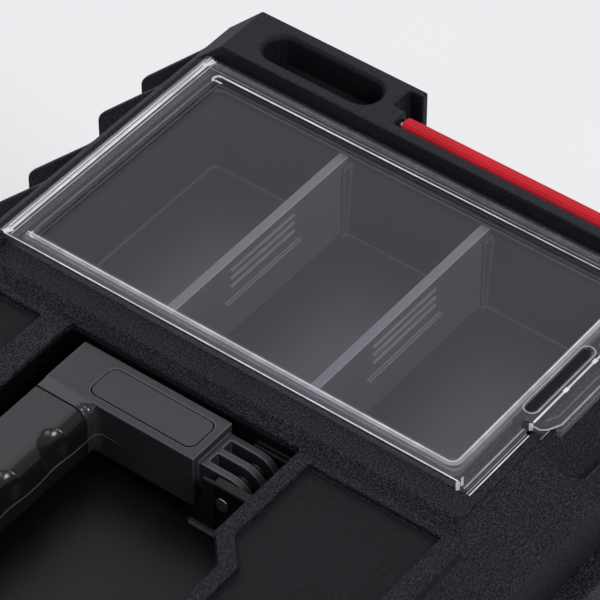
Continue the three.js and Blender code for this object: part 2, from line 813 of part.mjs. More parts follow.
// Arms from the tub's back wall that carry the hinge rod between each pair of fins
function hingeArms() {
  const half = (finPairGap - finThick) / 2 - knuckleGap;
  const root = partingZ - armRootDrop;
  const seat = tubBack - tubTaper / 2;
  const profile = [[seat, root], [tubBack, root + wall],
    ...arc(hingeY, hingeZ, finRadius - fitGap, -quarter * armSweepStartShare,
      quarter * armSweepEndShare, arcSteps * 2),
    [tubBack, partingZ - fitGap], [seat, partingZ - fitGap]];
  return bothSides(joined(finCentres.map((x) => prismX(profile, x - half, x + half))));
}

function rimSolid() {
  const inset = wall + rimGap;
  const outer = rect(-halfLength + inset, halfLength - inset, lidFront + inset, lidBack - inset);
  const inner = rect(-halfLength + inset + rimThick, halfLength - inset - rimThick,
    lidFront + inset + rimThick, lidBack - inset - rimThick);
  const low = partingZ - shoulderThick;
  return prismZ(outer, low, partingZ + rimRise).subtract(prismZ(inner, low - margin, boxHeight));
}

function frontBands() {
  return Array.from({ length: frontRibs }, (_, i) => {
    const z = partingZ - ribDrop - i * ribStep;
    const share = z / partingZ;
    const y = shoulderY + shoulderThick + tubTaper * (1 - share);
    return block(-halfLength / 2, halfLength / 2, y - ribHeight, y + wall, z, z + ribHeight * 2);
  });
}

function tubShell() {
  const shoulder = prismZ(tubOutline(0, 0), partingZ - shoulderThick, partingZ);
  const body = tapered(tubOutline(shoulderThick, tubTaper), tubOutline(shoulderThick, 0), footHeight,
    partingZ - shoulderThick / 2);
  const inner = tapered(tubOutline(shoulderThick + wall, tubTaper), tubOutline(shoulderThick + wall, 0),
    footHeight + wall, partingZ + margin);
  const under = prismZ(tubOutline(wall, 0), partingZ - shoulderThick - margin, partingZ - wall)
    .subtract(prismZ(tubOutline(shoulderThick, 0), partingZ - shoulderThick - margin * 2, partingZ));
  const footX = halfLength - footInset - footSize;
  const feet = [shoulderY + footInset, tubBack - footInset - footSize].map((y) => (
    prismZ(roundRect(footX, footX + footSize, y, y + footSize, footSize / 4), 0, footHeight + wall / 2)));
  const raised = joined([shoulder.subtract(under), body, bothSides(joined(feet)), rimSolid(),
    ...frontBands()]);
  return raised.subtract(inner).add(hingeArms()).subtract(
    rod(hingeY, hingeZ, hingeRodRadius + fitGap, -halfLength, halfLength));
}

const hingeRod = () => rod(hingeY, hingeZ, hingeRodRadius,
  -finOuter - finPairGap / 2 - finThick, finOuter + finPairGap / 2 + finThick);

const group = new THREE.Group();

function place(name, geometry, slot) {
  const mesh = new THREE.Mesh(geometry, materials[slot]);
  mesh.name = name;
  group.add(mesh);
}

const single = (name, solid, slot) => place(name, meshOf(solid), slot);

function pair(name, solid, slot) {
  const right = meshOf(solid);
  place(`${name}_right`, right, slot);
  place(`${name}_left`, mirroredGeometry(right), slot);
}

single('tub_shell', tubShell(), 'black');
single('hinge_rod', hingeRod(), 'steel');
single('lid_shell', lidShell(), 'black');
single('handle_frame', handleFrame(), 'handle');
single('handle_grip', gripSolid(), 'handle');
pair('handle_inlay', inlay(), 'handle');
pair('handle_pin', handlePin(), 'steel');
pair('organizer_bin', binSolid(), 'bin');
pair('divider_back', divider(dividerBack), 'bin');
pair('divider_front', divider(dividerFront), 'bin');
pair('organizer_cover', coverSolid(), 'clear');
pair('cover_rod', coverRod(), 'steel');
pair('end_handle', endHandle(), 'red');
pair('end_rod', endRod(), 'steel');
pair('front_latch', frontLatch(), 'black');
pair('latch_rod', latchRod(), 'steel');

export default group;
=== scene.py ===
import math
from collections import namedtuple
import bmesh
import bpy
from mathutils import Matrix, Vector


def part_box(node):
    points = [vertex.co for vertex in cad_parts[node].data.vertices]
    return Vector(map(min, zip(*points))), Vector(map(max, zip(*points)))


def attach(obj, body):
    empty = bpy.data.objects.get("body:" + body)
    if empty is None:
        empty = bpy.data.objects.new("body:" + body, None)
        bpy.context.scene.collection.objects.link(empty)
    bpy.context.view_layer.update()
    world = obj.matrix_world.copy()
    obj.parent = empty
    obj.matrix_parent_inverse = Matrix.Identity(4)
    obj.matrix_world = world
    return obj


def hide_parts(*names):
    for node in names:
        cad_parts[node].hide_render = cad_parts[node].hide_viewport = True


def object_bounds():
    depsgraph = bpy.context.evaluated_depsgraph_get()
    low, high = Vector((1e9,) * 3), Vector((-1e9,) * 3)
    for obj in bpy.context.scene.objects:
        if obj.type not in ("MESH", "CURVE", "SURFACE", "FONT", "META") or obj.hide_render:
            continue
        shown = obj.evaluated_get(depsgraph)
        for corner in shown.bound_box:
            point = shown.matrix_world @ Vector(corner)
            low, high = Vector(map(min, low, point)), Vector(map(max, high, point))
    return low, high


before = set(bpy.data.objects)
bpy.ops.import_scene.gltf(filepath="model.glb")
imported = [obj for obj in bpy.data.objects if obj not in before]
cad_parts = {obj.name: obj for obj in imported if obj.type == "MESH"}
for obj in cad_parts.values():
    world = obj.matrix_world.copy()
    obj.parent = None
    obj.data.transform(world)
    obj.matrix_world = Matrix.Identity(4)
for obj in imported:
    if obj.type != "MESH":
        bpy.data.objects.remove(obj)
cad_box = [list(corner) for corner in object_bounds()]

bl_info = {
    "name": "Toolbox with organizer lid",
    "version": (1, 0, 0),
    "blender": (4, 5, 0),
    "location": "3D View > Sidebar > Toolbox",
    "description": "Edges, surface details, materials and stage for the jointed toolbox",
    "category": "Object",
}

MM = 0.001
SIDES = ("right", "left")
WELD_GAP = 0.02 * MM
FLAT_ANGLE = math.radians(1)
EDGE_ANGLE = math.radians(32)
SMOOTH_ANGLE = math.radians(50)

Bar = namedtuple("Bar", "front back end low top inner")
Cover = namedtuple("Cover", "near far front back top middle")


# Shader maths

class Value:
    """A node socket that takes part in plain arithmetic."""

    def __init__(self, paint, socket):
        self.paint = paint
        self.socket = socket

    def math(self, operation, *others):
        values = dict(enumerate([self, *others]))
        return self.paint.node("ShaderNodeMath", {"operation": operation}, values)

    def __add__(self, other):
        return self.math("ADD", other)

    __radd__ = __add__

    def __mul__(self, other):
        return self.math("MULTIPLY", other)

    __rmul__ = __mul__

    def __sub__(self, other):
        return self.math("SUBTRACT", other)

    def __rsub__(self, other):
        return self.paint.node("ShaderNodeMath", {"operation": "SUBTRACT"}, {0: other, 1: self})

    def __pow__(self, other):
        return self.math("POWER", other)

    def __gt__(self, other):
        return self.math("GREATER_THAN", other)

    def __lt__(self, other):
        return self.math("LESS_THAN", other)

    def __abs__(self):
        return self.math("ABSOLUTE")

    def above(self, low, high):
        """0 below low, 1 above high and a soft rise between them."""
        return self.paint.node(
            "ShaderNodeMapRange", {"interpolation_type": "SMOOTHSTEP"},
            {"Value": self, "From Min": low, "From Max": high})


class Paint:
    """The node tree of one material or of the world."""

    def __init__(self, owner):
        owner.use_nodes = True
        self.tree = owner.node_tree
        self.tree.nodes.clear()

    def node(self, kind, settings=None, sockets=None, out=0):
        """A new node: its settings, what its sockets get, and the output that is used."""
        made = self.tree.nodes.new(kind)
        for name, value in (settings or {}).items():
            setattr(made, name, value)
        for key, value in (sockets or {}).items():
            self.feed(made, key, value)
        return Value(self, self.found(made.outputs, out)) if made.outputs else None

    @staticmethod
    def found(sockets, key):
        if isinstance(key, int):
            return sockets[key]
        return next(s for s in sockets if key in (s.identifier, s.name))

    def feed(self, made, key, value):
        socket = self.found(made.inputs, key)
        if isinstance(value, Value):
            self.tree.links.new(value.socket, socket)
        elif socket.type == "RGBA" and len(value) == 3:
            socket.default_value = (*value, 1)
        else:
            socket.default_value = value

    def place(self):
        """Object coordinates: metres in the part's own frame."""
        return self.node("ShaderNodeTexCoord", out="Object")

    def parts(self, vector):
        """The X, Y and Z of a vector."""
        made = self.node("ShaderNodeSeparateXYZ", sockets={0: vector})
        return [Value(self, s) for s in made.socket.node.outputs]

    def noise(self, vector, size, detail=2.0, rough=0.5):
        """Soft noise whose lumps are about size across, in metres."""
        return self.node("ShaderNodeTexNoise", sockets={
            "Vector": vector, "Scale": 1 / size, "Detail": detail, "Roughness": rough})

    def stretched(self, vector, scale):
        """Coordinates whose pattern is finer where the scale is larger."""
        return self.node("ShaderNodeMapping", sockets={"Vector": vector, "Scale": scale})

    def blend(self, share, first, second):
        """The first colour where share is 0, the second where it is 1."""
        return self.node("ShaderNodeMix", {"data_type": "RGBA"}, {
            "Factor_Float": share, "A_Color": first, "B_Color": second}, out="Result_Color")

    def bump(self, height, depth):
        return self.node("ShaderNodeBump", sockets={
            "Height": height, "Distance": depth, "Strength": 1.0})

    def plastic(self, sockets):
        return self.node("ShaderNodeBsdfPrincipled", sockets=sockets)

    def finish(self, shader, kind="ShaderNodeOutputMaterial"):
        self.node(kind, sockets={"Surface": shader})


def times(colour, factor):
    """A colour made lighter or darker, worked out before it reaches a node."""
    return tuple(channel * factor for channel in colour)


def new_paint(name):
    material = bpy.data.materials.new(name)
    return material, Paint(material)


def grained_plastic(name, colour, grain, height, gloss, shine, smooth_box=None, fine_box=None,
                    calm=1.0):
    """Moulded plastic with a stippled grain: none inside smooth_box, a finer one inside fine_box
    and a faint one further out along X than calm."""
    material, paint = new_paint(name)
    where = paint.place()
    coarse = paint.noise(where, grain, 2, 0.6).above(0.4, 0.66)
    fine = paint.noise(where, grain * 0.5, 2, 0.65).above(0.35, 0.7)
    broad = paint.noise(where, grain * 60, 2, 0.5)
    pattern = coarse * 0.6 + fine * 0.4
    relief = pattern
    rough = gloss + (1 - pattern) * 0.12
    if smooth_box:
        plain = box_mask(paint, where, smooth_box)
        relief = pattern * (1 - plain * 0.96)
        rough = rough - plain * 0.2
    if fine_box:
        inside = box_mask(paint, where, fine_box)
        relief = relief * (1 - inside * 0.7) + fine * (inside * 0.12)
    outer = abs(paint.parts(where)[0]).above(calm - 1.5 * MM, calm + 1.5 * MM)
    relief = relief * (1 - outer * 0.8) + outer * 0.3
    tone = paint.blend(relief.above(0.15, 0.85), times(colour, 0.35), times(colour, 5.8))
    tone = paint.blend(broad.above(0.35, 0.7) * 0.3, tone, times(colour, 1.2))
    shader = paint.plastic({
        "Base Color": tone,
        "Roughness": rough,
        "Specular IOR Level": shine,
        "Normal": paint.bump(relief + fine * 0.04, height),
    })
    paint.finish(shader)
    return material


def box_mask(paint, where, box):
    """1 inside a box of the part's frame, 0 outside it."""
    low, high = box
    inside = 1.0
    for value, least, most in zip(paint.parts(where), low, high):
        inside = (value > least) * (value < most) * inside
    return inside


def satin_plastic(name, colour, gloss, shine, grain=0.5 * MM, height=0.05 * MM, scuffs=0.15,
                  crown=None):
    """Smooth moulded plastic with a faint grain and light wear; above a given top level it gets a
    painted highlight, paler where the top faces the light.
    """
    material, paint = new_paint(name)
    where = paint.place()
    fine = paint.noise(where, grain, 2, 0.6)
    broad = paint.noise(where, 30 * MM, 3, 0.55)
    scratch = paint.noise(paint.stretched(where, (260, 40, 90)), 1.0, 2, 0.5).above(0.66, 0.72)
    tone = paint.blend(broad.above(0.3, 0.75), times(colour, 0.88), times(colour, 1.12))
    tone = paint.blend(scratch * scuffs, tone, times(colour, 2.0))
    # Painted highlight: the top above the given level is made paler, where it faces the light.
    if crown:
        tone = paint.blend(paint.parts(where)[2] > crown, tone, times(colour, 1.7))
    shader = paint.plastic({
        "Base Color": tone,
        "Roughness": gloss + broad * 0.1 + fine * 0.06,
        "Specular IOR Level": shine,
        "Normal": paint.bump(fine, height),
    })
    paint.finish(shader)
    return material


def clear_sheet(name, tint, veil):
    """Clear plastic: straight see-through with a gloss that grows at grazing angles."""
    material, paint = new_paint(name)
    where = paint.place()
    facing = paint.node("ShaderNodeLayerWeight", sockets={"Blend": 0.5}, out="Facing")
    smear = paint.noise(where, 35 * MM, 3, 0.6).above(0.45, 0.8)
    scratch = paint.noise(paint.stretched(where, (60, 420, 60)), 1.0, 2, 0.5).above(0.74, 0.78)
    share = veil + (facing ** 5.0) * 0.7 + smear * 0.004 + scratch * 0.02
    surface = paint.plastic({
        "Base Color": (0.88, 0.88, 0.92),
        "Metallic": 0.4,
        "Roughness": smear * 0.06 + 0.27,
    })
    through = paint.node("ShaderNodeBsdfTransparent", sockets={"Color": tint})
    paint.finish(paint.node("ShaderNodeMixShader", sockets={0: share, 1: through, 2: surface}))
    return material


def clear_rim(name, colour, tint, solid, shine=0.5, glow=0.0):
    """A painted line on clear plastic, which stays partly see-through: a painted highlight where
    light gathers at an edge, or painted shade when its colour is dark.

    A faint glow stands for the light that a clear plate carries to its edges."""
    material, paint = new_paint(name)
    where = paint.place()
    uneven = paint.noise(where, 12 * MM, 3, 0.6)
    surface = paint.plastic({
        "Base Color": paint.blend(uneven.above(0.3, 0.7), times(colour, 0.85), colour),
        "Roughness": uneven * 0.15 + 0.15,
        "Specular IOR Level": shine,
        "Emission Color": colour,
        "Emission Strength": glow,
    })
    through = paint.node("ShaderNodeBsdfTransparent", sockets={"Color": tint})
    share = solid * 0.85 + uneven.above(0.35, 0.7) * (solid * 0.3)
    paint.finish(paint.node("ShaderNodeMixShader", sockets={0: share, 1: through, 2: surface}))
    return material


def turned_steel(name, colour, along):
    """Drawn steel with fine lines along one axis, 0 to 2, and slight tarnish."""
    material, paint = new_paint(name)
    where = paint.place()
    stretch = [2200.0, 2200.0, 2200.0]
    stretch[along] = 60.0
    lines = paint.noise(paint.stretched(where, stretch), 1.0, 2, 0.6)
    stain = paint.noise(where, 6 * MM, 3, 0.6).above(0.5, 0.75)
    tone = paint.blend(lines, times(colour, 0.8), times(colour, 1.1))
    shader = paint.plastic({
        "Base Color": paint.blend(stain * 0.4, tone, times(colour, 0.55)),
        "Metallic": 1.0,
        "Roughness": lines * 0.15 + stain * 0.1 + 0.2,
        "Normal": paint.bump(lines, 0.03 * MM),
    })
    paint.finish(shader)
    return material


# Meshes

def middle_of(node):
    """The middle of a carried-over part's box."""
    low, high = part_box(node)
    return (Vector(low) + Vector(high)) / 2


def add_piece(name, mesh, material, body, stands_for=()):
    """Puts a mesh of the scene's own into the scene, on the body that carries it."""
    obj = bpy.data.objects.new(name, mesh)
    bpy.context.scene.collection.objects.link(obj)
    mesh.materials.append(material)
    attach(obj, body)
    if stands_for:
        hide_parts(*stands_for)
    return obj


def mesh_from(name, points, faces, smooth=True, mirror=False):
    """A mesh made of points and faces, or its mirror image for the left side."""
    if mirror:
        points = [Vector((-p[0], p[1], p[2])) for p in points]
        faces = [tuple(reversed(f)) for f in faces]
    mesh = bpy.data.meshes.new(name)
    mesh.from_pydata([tuple(p) for p in points], [], faces)
    mesh.polygons.foreach_set("use_smooth", [smooth] * len(mesh.polygons))
    if smooth:
        mesh.set_sharp_from_angle(angle=SMOOTH_ANGLE)
    mesh.validate()
    return mesh


def bridged(rings):
    """Points and faces of a body drawn through rings of points."""
    count = len(rings[0])
    points = [p for ring in rings for p in ring]
    faces = []
    for i in range(len(rings) - 1):
        here, there = i * count, (i + 1) * count
        for k in range(count):
            n = (k + 1) % count
            faces.append((here + k, here + n, there + n, there + k))
    faces.append(tuple(reversed(range(count))))
    faces.append(tuple(range(len(points) - count, len(points))))
    return points, faces


def steps_along(path, closed=False):
    """Each point of a path with its direction of travel."""
    path = [Vector(p) for p in path]
    count = len(path)
    for i, point in enumerate(path):
        before = path[(i - 1) % count] if closed or i else path[0]
        after = path[(i + 1) % count] if closed or i < count - 1 else path[-1]
        yield point, (after - before).normalized()


def bead(path, width, sides=6, fade=0):
    """A thin round line along a path, which tapers off over its last fade points."""
    rings = []
    for i, (point, along) in enumerate(steps_along(path)):
        left = min(1.0, (len(path) - 1 - i + 0.1) / fade) if fade else 1.0
        side = along.cross(Vector((0, 0, 1))).normalized() * (width * left / 2)
        up = side.cross(along)
        turns = [2 * math.pi * k / sides for k in range(sides)]
        rings.append([point + side * math.cos(t) + up * math.sin(t) for t in turns])
    return bridged(rings)


def ribbon(path, width, up=(0, 0, 1), closed=False, end=None):
    """A thin crowned line of plastic along a path, facing up; its width may change to end."""
    points, faces = [], []
    up = Vector(up).normalized()
    end = width if end is None else end
    for i, (point, along) in enumerate(steps_along(path, closed)):
        share = i / max(1, len(path) - 1)
        side = along.cross(up).normalized() * ((width + (end - width) * share) / 2)
        drop = up * min(width * 0.12, 0.1 * MM)
        points += [point + side - drop, point, point - side - drop]
    count = len(path)
    for i in range(count if closed else count - 1):
        here, there = 3 * i, 3 * ((i + 1) % count)
        for k in (0, 1):
            faces.append((here + k, there + k, there + k + 1, here + k + 1))
    return points, faces


def joined(*parts):
    """Points and faces of several parts as one."""
    points, faces = [], []
    for more_points, more_faces in parts:
        start = len(points)
        points += more_points
        faces += [tuple(start + i for i in face) for face in more_faces]
    return points, faces


def prism(outline, low, high):
    """An outline in the Y-Z plane, drawn out along X."""
    count = len(outline)
    points = [Vector((x, y, z)) for x in (low, high) for y, z in outline]
    faces = [(i, (i + 1) % count, count + (i + 1) % count, count + i) for i in range(count)]
    faces += [tuple(reversed(range(count))), tuple(range(count, 2 * count))]
    return points, faces


def strip(first, last, width, up=(0, 0, 1), end=None):
    """A straight ribbon between two points."""
    return ribbon([Vector(first), Vector(last)], width, up, end=end)


def strip_x(start, end, y, z, width):
    """A straight ribbon from left to right."""
    return strip((start, y, z), (end, y, z), width)


def strip_y(x, start, end, z, width, last=None):
    """A straight ribbon from back to front or front to back; its width may change to last."""
    return strip((x, start, z), (x, end, z), width, end=last)


def corner_arc(x, y, z, radius, start, end, steps=6):
    """Points of an arc in a level plane, angles in degrees."""
    turns = [math.radians(start + (end - start) * i / steps) for i in range(steps + 1)]
    return [Vector((x + radius * math.cos(t), y + radius * math.sin(t), z)) for t in turns]


def rounded(obj, width, segments=3):
    """Gives a piece rounded edges through a modifier."""
    edge = obj.modifiers.new("rounded_edges", "BEVEL")
    edge.width = width
    edge.segments = segments
    edge.limit_method = "ANGLE"
    edge.angle_limit = EDGE_ANGLE
    edge.use_clamp_overlap = False
    edge.harden_normals = True
    edge.miter_outer = "MITER_ARC"
    return obj


def soften(node, material, width, slot, segments=3, edge_material=None):
    """Gives a carried-over part its material and rounded edges, by modifiers alone.

    Faces with many corners are split first, because they fold where the rounding reaches them."""
    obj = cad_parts[node]
    weld = obj.modifiers.new("join_faces", "WELD")
    weld.merge_threshold = WELD_GAP
    flat = obj.modifiers.new("flat_faces", "DECIMATE")
    flat.decimate_type = "DISSOLVE"
    flat.angle_limit = FLAT_ANGLE
    split = obj.modifiers.new("split_faces", "TRIANGULATE")
    split.min_vertices = 5
    rounded(obj, width, segments)
    obj.data.materials.clear()
    obj.data.materials.append(material)
    if edge_material:
        obj.data.materials.append(edge_material)
        obj.modifiers["rounded_edges"].material = 1
    return obj


# Settings

def length(name, description, default, low=0.0, high=1.0):
    """A size in metres with its limits."""
    return bpy.props.FloatProperty(
        name=name, description=description, default=default, min=low, max=high,
        subtype="DISTANCE", unit="LENGTH")


def colour(name, description, default):
    return bpy.props.FloatVectorProperty(
        name=name, description=description, default=default, size=3, min=0, max=1,
        subtype="COLOR")


def share(name, description, default):
    return bpy.props.FloatProperty(
        name=name, description=description, default=default, min=0, max=1, subtype="FACTOR")


def amount(name, description, default):
    return bpy.props.FloatProperty(name=name, description=description, default=default, min=0)


def angle(name, description, degrees):
    return bpy.props.FloatProperty(
        name=name, description=description, default=math.radians(degrees),
        subtype="ANGLE", unit="ROTATION")


class ToolboxFinish(bpy.types.PropertyGroup):
    """Colours and surface grain of the toolbox"""

    black: colour("Black plastic", "Tub, lid and latches", (0.0088, 0.0087, 0.0118))
    handle: colour("Handle plastic", "Carry handle", (0.032, 0.032, 0.037))
    bin: colour("Bin plastic", "Organizer bins", (0.0145, 0.0145, 0.0175))
    divider: colour("Divider plastic", "Loose walls of the bins", (0.09, 0.09, 0.098))
    clear: colour("Clear tint", "Light that passes the covers", (0.95, 0.955, 0.965))
    # The colour of the painted highlight lines on the covers.
    rim: colour("Clear edge", "Pale lines at the covers' edges", (0.86, 0.87, 0.89))
    red: colour("Red plastic", "End handles", (0.66, 0.011, 0.022))
    steel: colour("Steel", "Pins and rods", (0.58, 0.585, 0.60))
    grain: length("Grain size", "Size of the stipple on the lid", 0.7 * MM, 0.1 * MM, 5 * MM)
    grain_height: length("Grain height", "Height of the stipple", 0.22 * MM, 0, 1 * MM)
    veil: share("Cover gloss", "Mirror share of a cover seen straight on", 0.031)


class ToolboxEdges(bpy.types.PropertyGroup):
    """Rounding of the edges"""

    lid: length("Lid", "Rounding of the lid's edges", 0.8 * MM, 0, 3 * MM)
    tub: length("Tub", "Rounding of the tub's edges", 1.0 * MM, 0, 3 * MM)
    bin: length("Bins", "Rounding of the bins' edges", 0.7 * MM, 0, 3 * MM)
    divider: length("Dividers", "Rounding of the dividers' edges", 0.22 * MM, 0, 1 * MM)
    handle: length("Carry handle", "Rounding of the handle's edges", 0.4 * MM, 0, 3 * MM)
    cover: length("Covers", "Rounding of the covers' edges", 0.25 * MM, 0, 2 * MM)
    metal: length("Pins", "Rounding of the pins' ends", 0.35 * MM, 0, 1 * MM)
    red: length("End handles", "Rounding of the end handles", 0.7 * MM, 0, 2 * MM)
    latch: length("Front latches", "Rounding of the front latches", 0.7 * MM, 0, 2 * MM)


class ToolboxGrip(bpy.types.PropertyGroup):
    """The carry handle's grip"""

    front: length("Front", "Front face behind the front of the CAD grip", 2.9 * MM, 0, 0.01)
    front_radius: length("Front rounding", "Rounding of the top front edge", 6.3 * MM, 0, 0.012)
    low_radius: length("Low rounding", "Rounding of the low front edge", 5 * MM, 0, 0.012)
    back_radius: length("Back rounding", "Rounding of the back edges", 1 * MM, 0, 0.012)
    fillet: length("Inner corner", "Hollow rounding between grip and arms", 3 * MM, 0, 0.01)
    seam: length("Seam", "Gap between the grip and its collars", 0.35 * MM, 0, 0.002)
    longer: length("Overlap", "Grip's reach past the CAD grip at each end", 0.8 * MM, 0, 0.005)
    parting: length("Parting line", "Depth of the parting line below the top", 13.2 * MM, 0, 0.03)
    hollows: bpy.props.IntProperty(
        name="Finger hollows", description="Hollows on each half", default=2, min=0, max=3)
    first: length("First hollow", "Outermost hollow from the middle", 44.3 * MM, 0, 0.1)
    pitch: length("Pitch", "Distance between hollows", 24.8 * MM, 0.01, 0.04)
    wide: length("Hollow width", "Width of a finger hollow", 13.2 * MM, 0, 0.03)
    tall: length("Hollow height", "Height of a hollow along the surface", 18.4 * MM, 0, 0.03)
    deep: length("Hollow depth", "Depth of a finger hollow", 2.0 * MM, 0, 0.006)
    arm_low: length("Arm depth", "Height of the arms", 23.6 * MM, 0, 0.03)


class ToolboxLid(bpy.types.PropertyGroup):
    """Small forms of the lid"""

    web_top: length("Web top", "Top of the bracket's web above the pivot", 8.3 * MM, 0, 0.02)
    web_reach: length("Web reach", "Foot of the web from the pivot", 15.5 * MM, 0, 0.03)
    web_thick: length("Web thickness", "Thickness of the web", 1.75 * MM, 0, 0.005)
    pocket: length("Pocket floor", "Floor of the handle's pocket below the pivot", 16.3 * MM, 0, 0.03)
    fillet: length("Foot fillet", "Fillet at the bracket's foot", 1.8 * MM, 0, 0.005)
    slot_depth: length("Slot depth", "Floor of the ear's slot below the lid's top", 13 * MM, 0, 0.024)
    slot_in: length("Slot place", "Middle of the slot from the lid's end", 13 * MM, 0, 0.03)
    slot_width: length("Slot width", "Width of the ear's slot", 14.4 * MM, 0, 0.03)
    slot_length: length("Slot length", "Length of the ear's slot", 52 * MM, 0, 0.1)
    slot_middle: length("Slot middle", "Middle of the slot from front to back", 61 * MM, 0, 0.1)


class ToolboxCover(bpy.types.PropertyGroup):
    """Painted highlight lines and bands, and painted shade, on the clear covers"""

    tab_reach: length("Tab reach", "Tab's reach past the cover's front", 12.9 * MM, 0, 0.05)
    line: length("Line width", "Width of the brightest edge line", 0.55 * MM, 0, 0.003)
    fine: length("Fine line width", "Width of the fine lines", 0.5 * MM, 0, 0.003)
    band: length("Band width", "Width of the pale band round the panel", 2.3 * MM, 0, 0.01)
    band_inset: length("Band inset", "Band's middle from the inner edge", 5.3 * MM, 0, 0.02)
    band_front: length("Band front", "Band's middle from the front edge", 5.1 * MM, 0, 0.02)
    band_back: length("Band back", "Band's end from the hinge edge", 9.5 * MM, 0, 0.03)
    band_radius: length("Band corner", "Corner radius of the band", 3.4 * MM, 0, 0.02)
    panel_outer: length("Panel edge", "Panel's far edge from the cover's edge", 6.7 * MM, 0, 0.03)
    panel_back: length("Panel back", "Panel's back edge from the hinge edge", 11 * MM, 0, 0.03)
    sink: length("Panel depth", "Depth of the sunk panel", 2.15 * MM, 0, 0.01)
    foot: length("Foot line", "Depth of the lines along the front edge's foot", 4 * MM, 0, 0.01)
    slot_half: length("Slot half", "Half the length of the slot behind the tab", 19.6 * MM, 0, 0.05)
    slot_front: length("Slot front", "Slot's front edge from the cover's front", 2.5 * MM, 0, 0.01)
    slot_back: length("Slot back", "Slot's back edge from the cover's front", 3.3 * MM, 0, 0.01)
    tab_half: length("Tab half", "Half the length of the tab", 23.6 * MM, 0, 0.05)


class ToolboxStage(bpy.types.PropertyGroup):
    """Floor, lamps and camera"""

    floor: colour("Floor", "Pale floor", (0.72, 0.72, 0.72))
    backdrop: colour("Backdrop", "What the camera sees behind the toolbox", (0.86, 0.86, 0.86))
    ambient: colour("Ambient light", "Light from all around", (0.32, 0.32, 0.335))
    lift: amount("Floor lift", "Added to the floor's colour for the camera alone", 0.315)
    panel: amount("Back panel", "Brightness of the soft panel behind", 0.95)
    key: amount("Key lamp", "Power of the soft lamp above, in watts", 1.6)
    key_width: length("Key lamp's width", "Width of the soft lamp above", 0.36, 0.01, 2)
    fill: amount("Front panel", "Brightness of the dim panel in front", 0.35)
    front: amount("Front lamp", "Brightness of the small lamp in front", 30.0)
    top: amount("Top panel", "Brightness of the soft panel above", 0.7)
    place: bpy.props.FloatVectorProperty(
        name="Camera position", description="Where the camera stands", size=3,
        default=(-0.617498, -0.583715, 1.166139), subtype="TRANSLATION", unit="LENGTH")
    azimuth: angle("Azimuth", "Turn about the upright axis", -52.55)
    elevation: angle("Elevation", "Height above the horizon", 44.31)
    lens: amount("Lens", "Focal length in millimetres", 228.756)


class ToolboxOperator:
    """What the toolbox's operators share"""

    bl_options = {"REGISTER", "UNDO"}
    group = ""

    @property
    def scene(self):
        return bpy.context.scene

    @property
    def finish(self):
        return self.scene.toolbox_finish

    @property
    def edges(self):
        return self.scene.toolbox_edges

    @property
    def sizes(self):
        """The settings of the operator's own group."""
        return getattr(self.scene, self.group)

    def per_side(self, stem, width, material, slot, **more):
        for side in SIDES:
            soften(f"{stem}_{side}", material, width, slot, **more)


class TOOLBOX_OT_shells(ToolboxOperator, bpy.types.Operator):
    """Rounds and paints the tub and the lid"""

    bl_idname = "toolbox.shells"
    bl_label = "Tub and lid"

    # The handle's pocket is smooth: its reach past the handle's frame and grip
    POCKET_BESIDE, POCKET_AHEAD, POCKET_BEHIND = 2.38 * MM, 18 * MM, 8 * MM
    POCKET_LOW, POCKET_TOP = 150 * MM, 0.6 * MM
    # The deck between the handle's arms has a finer grain
    DECK_BESIDE, DECK_HALF_DEPTH, DECK_RISE = 2 * MM, 120 * MM, 1.6 * MM

    def execute(self, context):
        finish, edges = self.finish, self.edges
        grip_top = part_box("handle_grip")[1].z
        low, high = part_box("handle_frame")
        smooth = ((low.x - self.POCKET_BESIDE, low.y - self.POCKET_AHEAD, self.POCKET_LOW),
                  (high.x + self.POCKET_BESIDE, high.y + self.POCKET_BEHIND,
                   grip_top + self.POCKET_TOP))
        inner, half = high.x - self.DECK_BESIDE, self.DECK_HALF_DEPTH
        fine = (-inner, -half, grip_top), (inner, half, grip_top + self.DECK_RISE)
        end_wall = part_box("organizer_cover_right")[1].x - 1 * MM
        lid = grained_plastic("lid_plastic", finish.black, finish.grain, finish.grain_height,
                              gloss=0.45, shine=0.2, smooth_box=smooth, fine_box=fine,
                              calm=end_wall)
        tub = grained_plastic("tub_plastic", finish.black, finish.grain * 1.1,
                              finish.grain_height * 0.8, gloss=0.45, shine=0.22)
        soften("lid_shell", lid, edges.lid, "black_plastic")
        soften("tub_shell", tub, edges.tub, "black_plastic")
        return {"FINISHED"}


class TOOLBOX_OT_latches(ToolboxOperator, bpy.types.Operator):
    """Rounds and paints the front latches"""

    bl_idname = "toolbox.latches"
    bl_label = "Front latches"

    def execute(self, context):
        finish, edges = self.finish, self.edges
        black = satin_plastic("latch_plastic", finish.black, gloss=0.36, shine=0.5)
        self.per_side("front_latch", edges.latch, black, "black_plastic")
        return {"FINISHED"}


class TOOLBOX_OT_metal(ToolboxOperator, bpy.types.Operator):
    """Finishes the pins and rods as drawn steel"""

    bl_idname = "toolbox.metal"
    bl_label = "Pins and rods"

    def execute(self, context):
        finish, edges = self.finish, self.edges
        across = turned_steel("steel_across", finish.steel, 0)
        along = turned_steel("steel_along", finish.steel, 1)
        # Painted highlight: a paler copy of the steel on the pins' and rods' rounded ends.
        bright = turned_steel("steel_bright", times(finish.steel, 1.6), 0)
        soften("hinge_rod", across, edges.metal, "steel")
        for stem in ("handle_pin", "cover_rod", "latch_rod"):
            self.per_side(stem, edges.metal, across, "steel", edge_material=bright)
        self.per_side("end_rod", edges.metal, along, "steel")
        return {"FINISHED"}


class TOOLBOX_OT_end_handles(ToolboxOperator, bpy.types.Operator):
    """Rounds and paints the red end handles"""

    bl_idname = "toolbox.end_handles"
    bl_label = "End handles"

    def execute(self, context):
        finish, edges = self.finish, self.edges
        red = satin_plastic("red_plastic_satin", finish.red, gloss=0.42, shine=0.2,
                            grain=0.6 * MM, height=0.04 * MM, scuffs=0.05)
        self.per_side("end_handle", edges.red, red, "red_plastic")
        return {"FINISHED"}


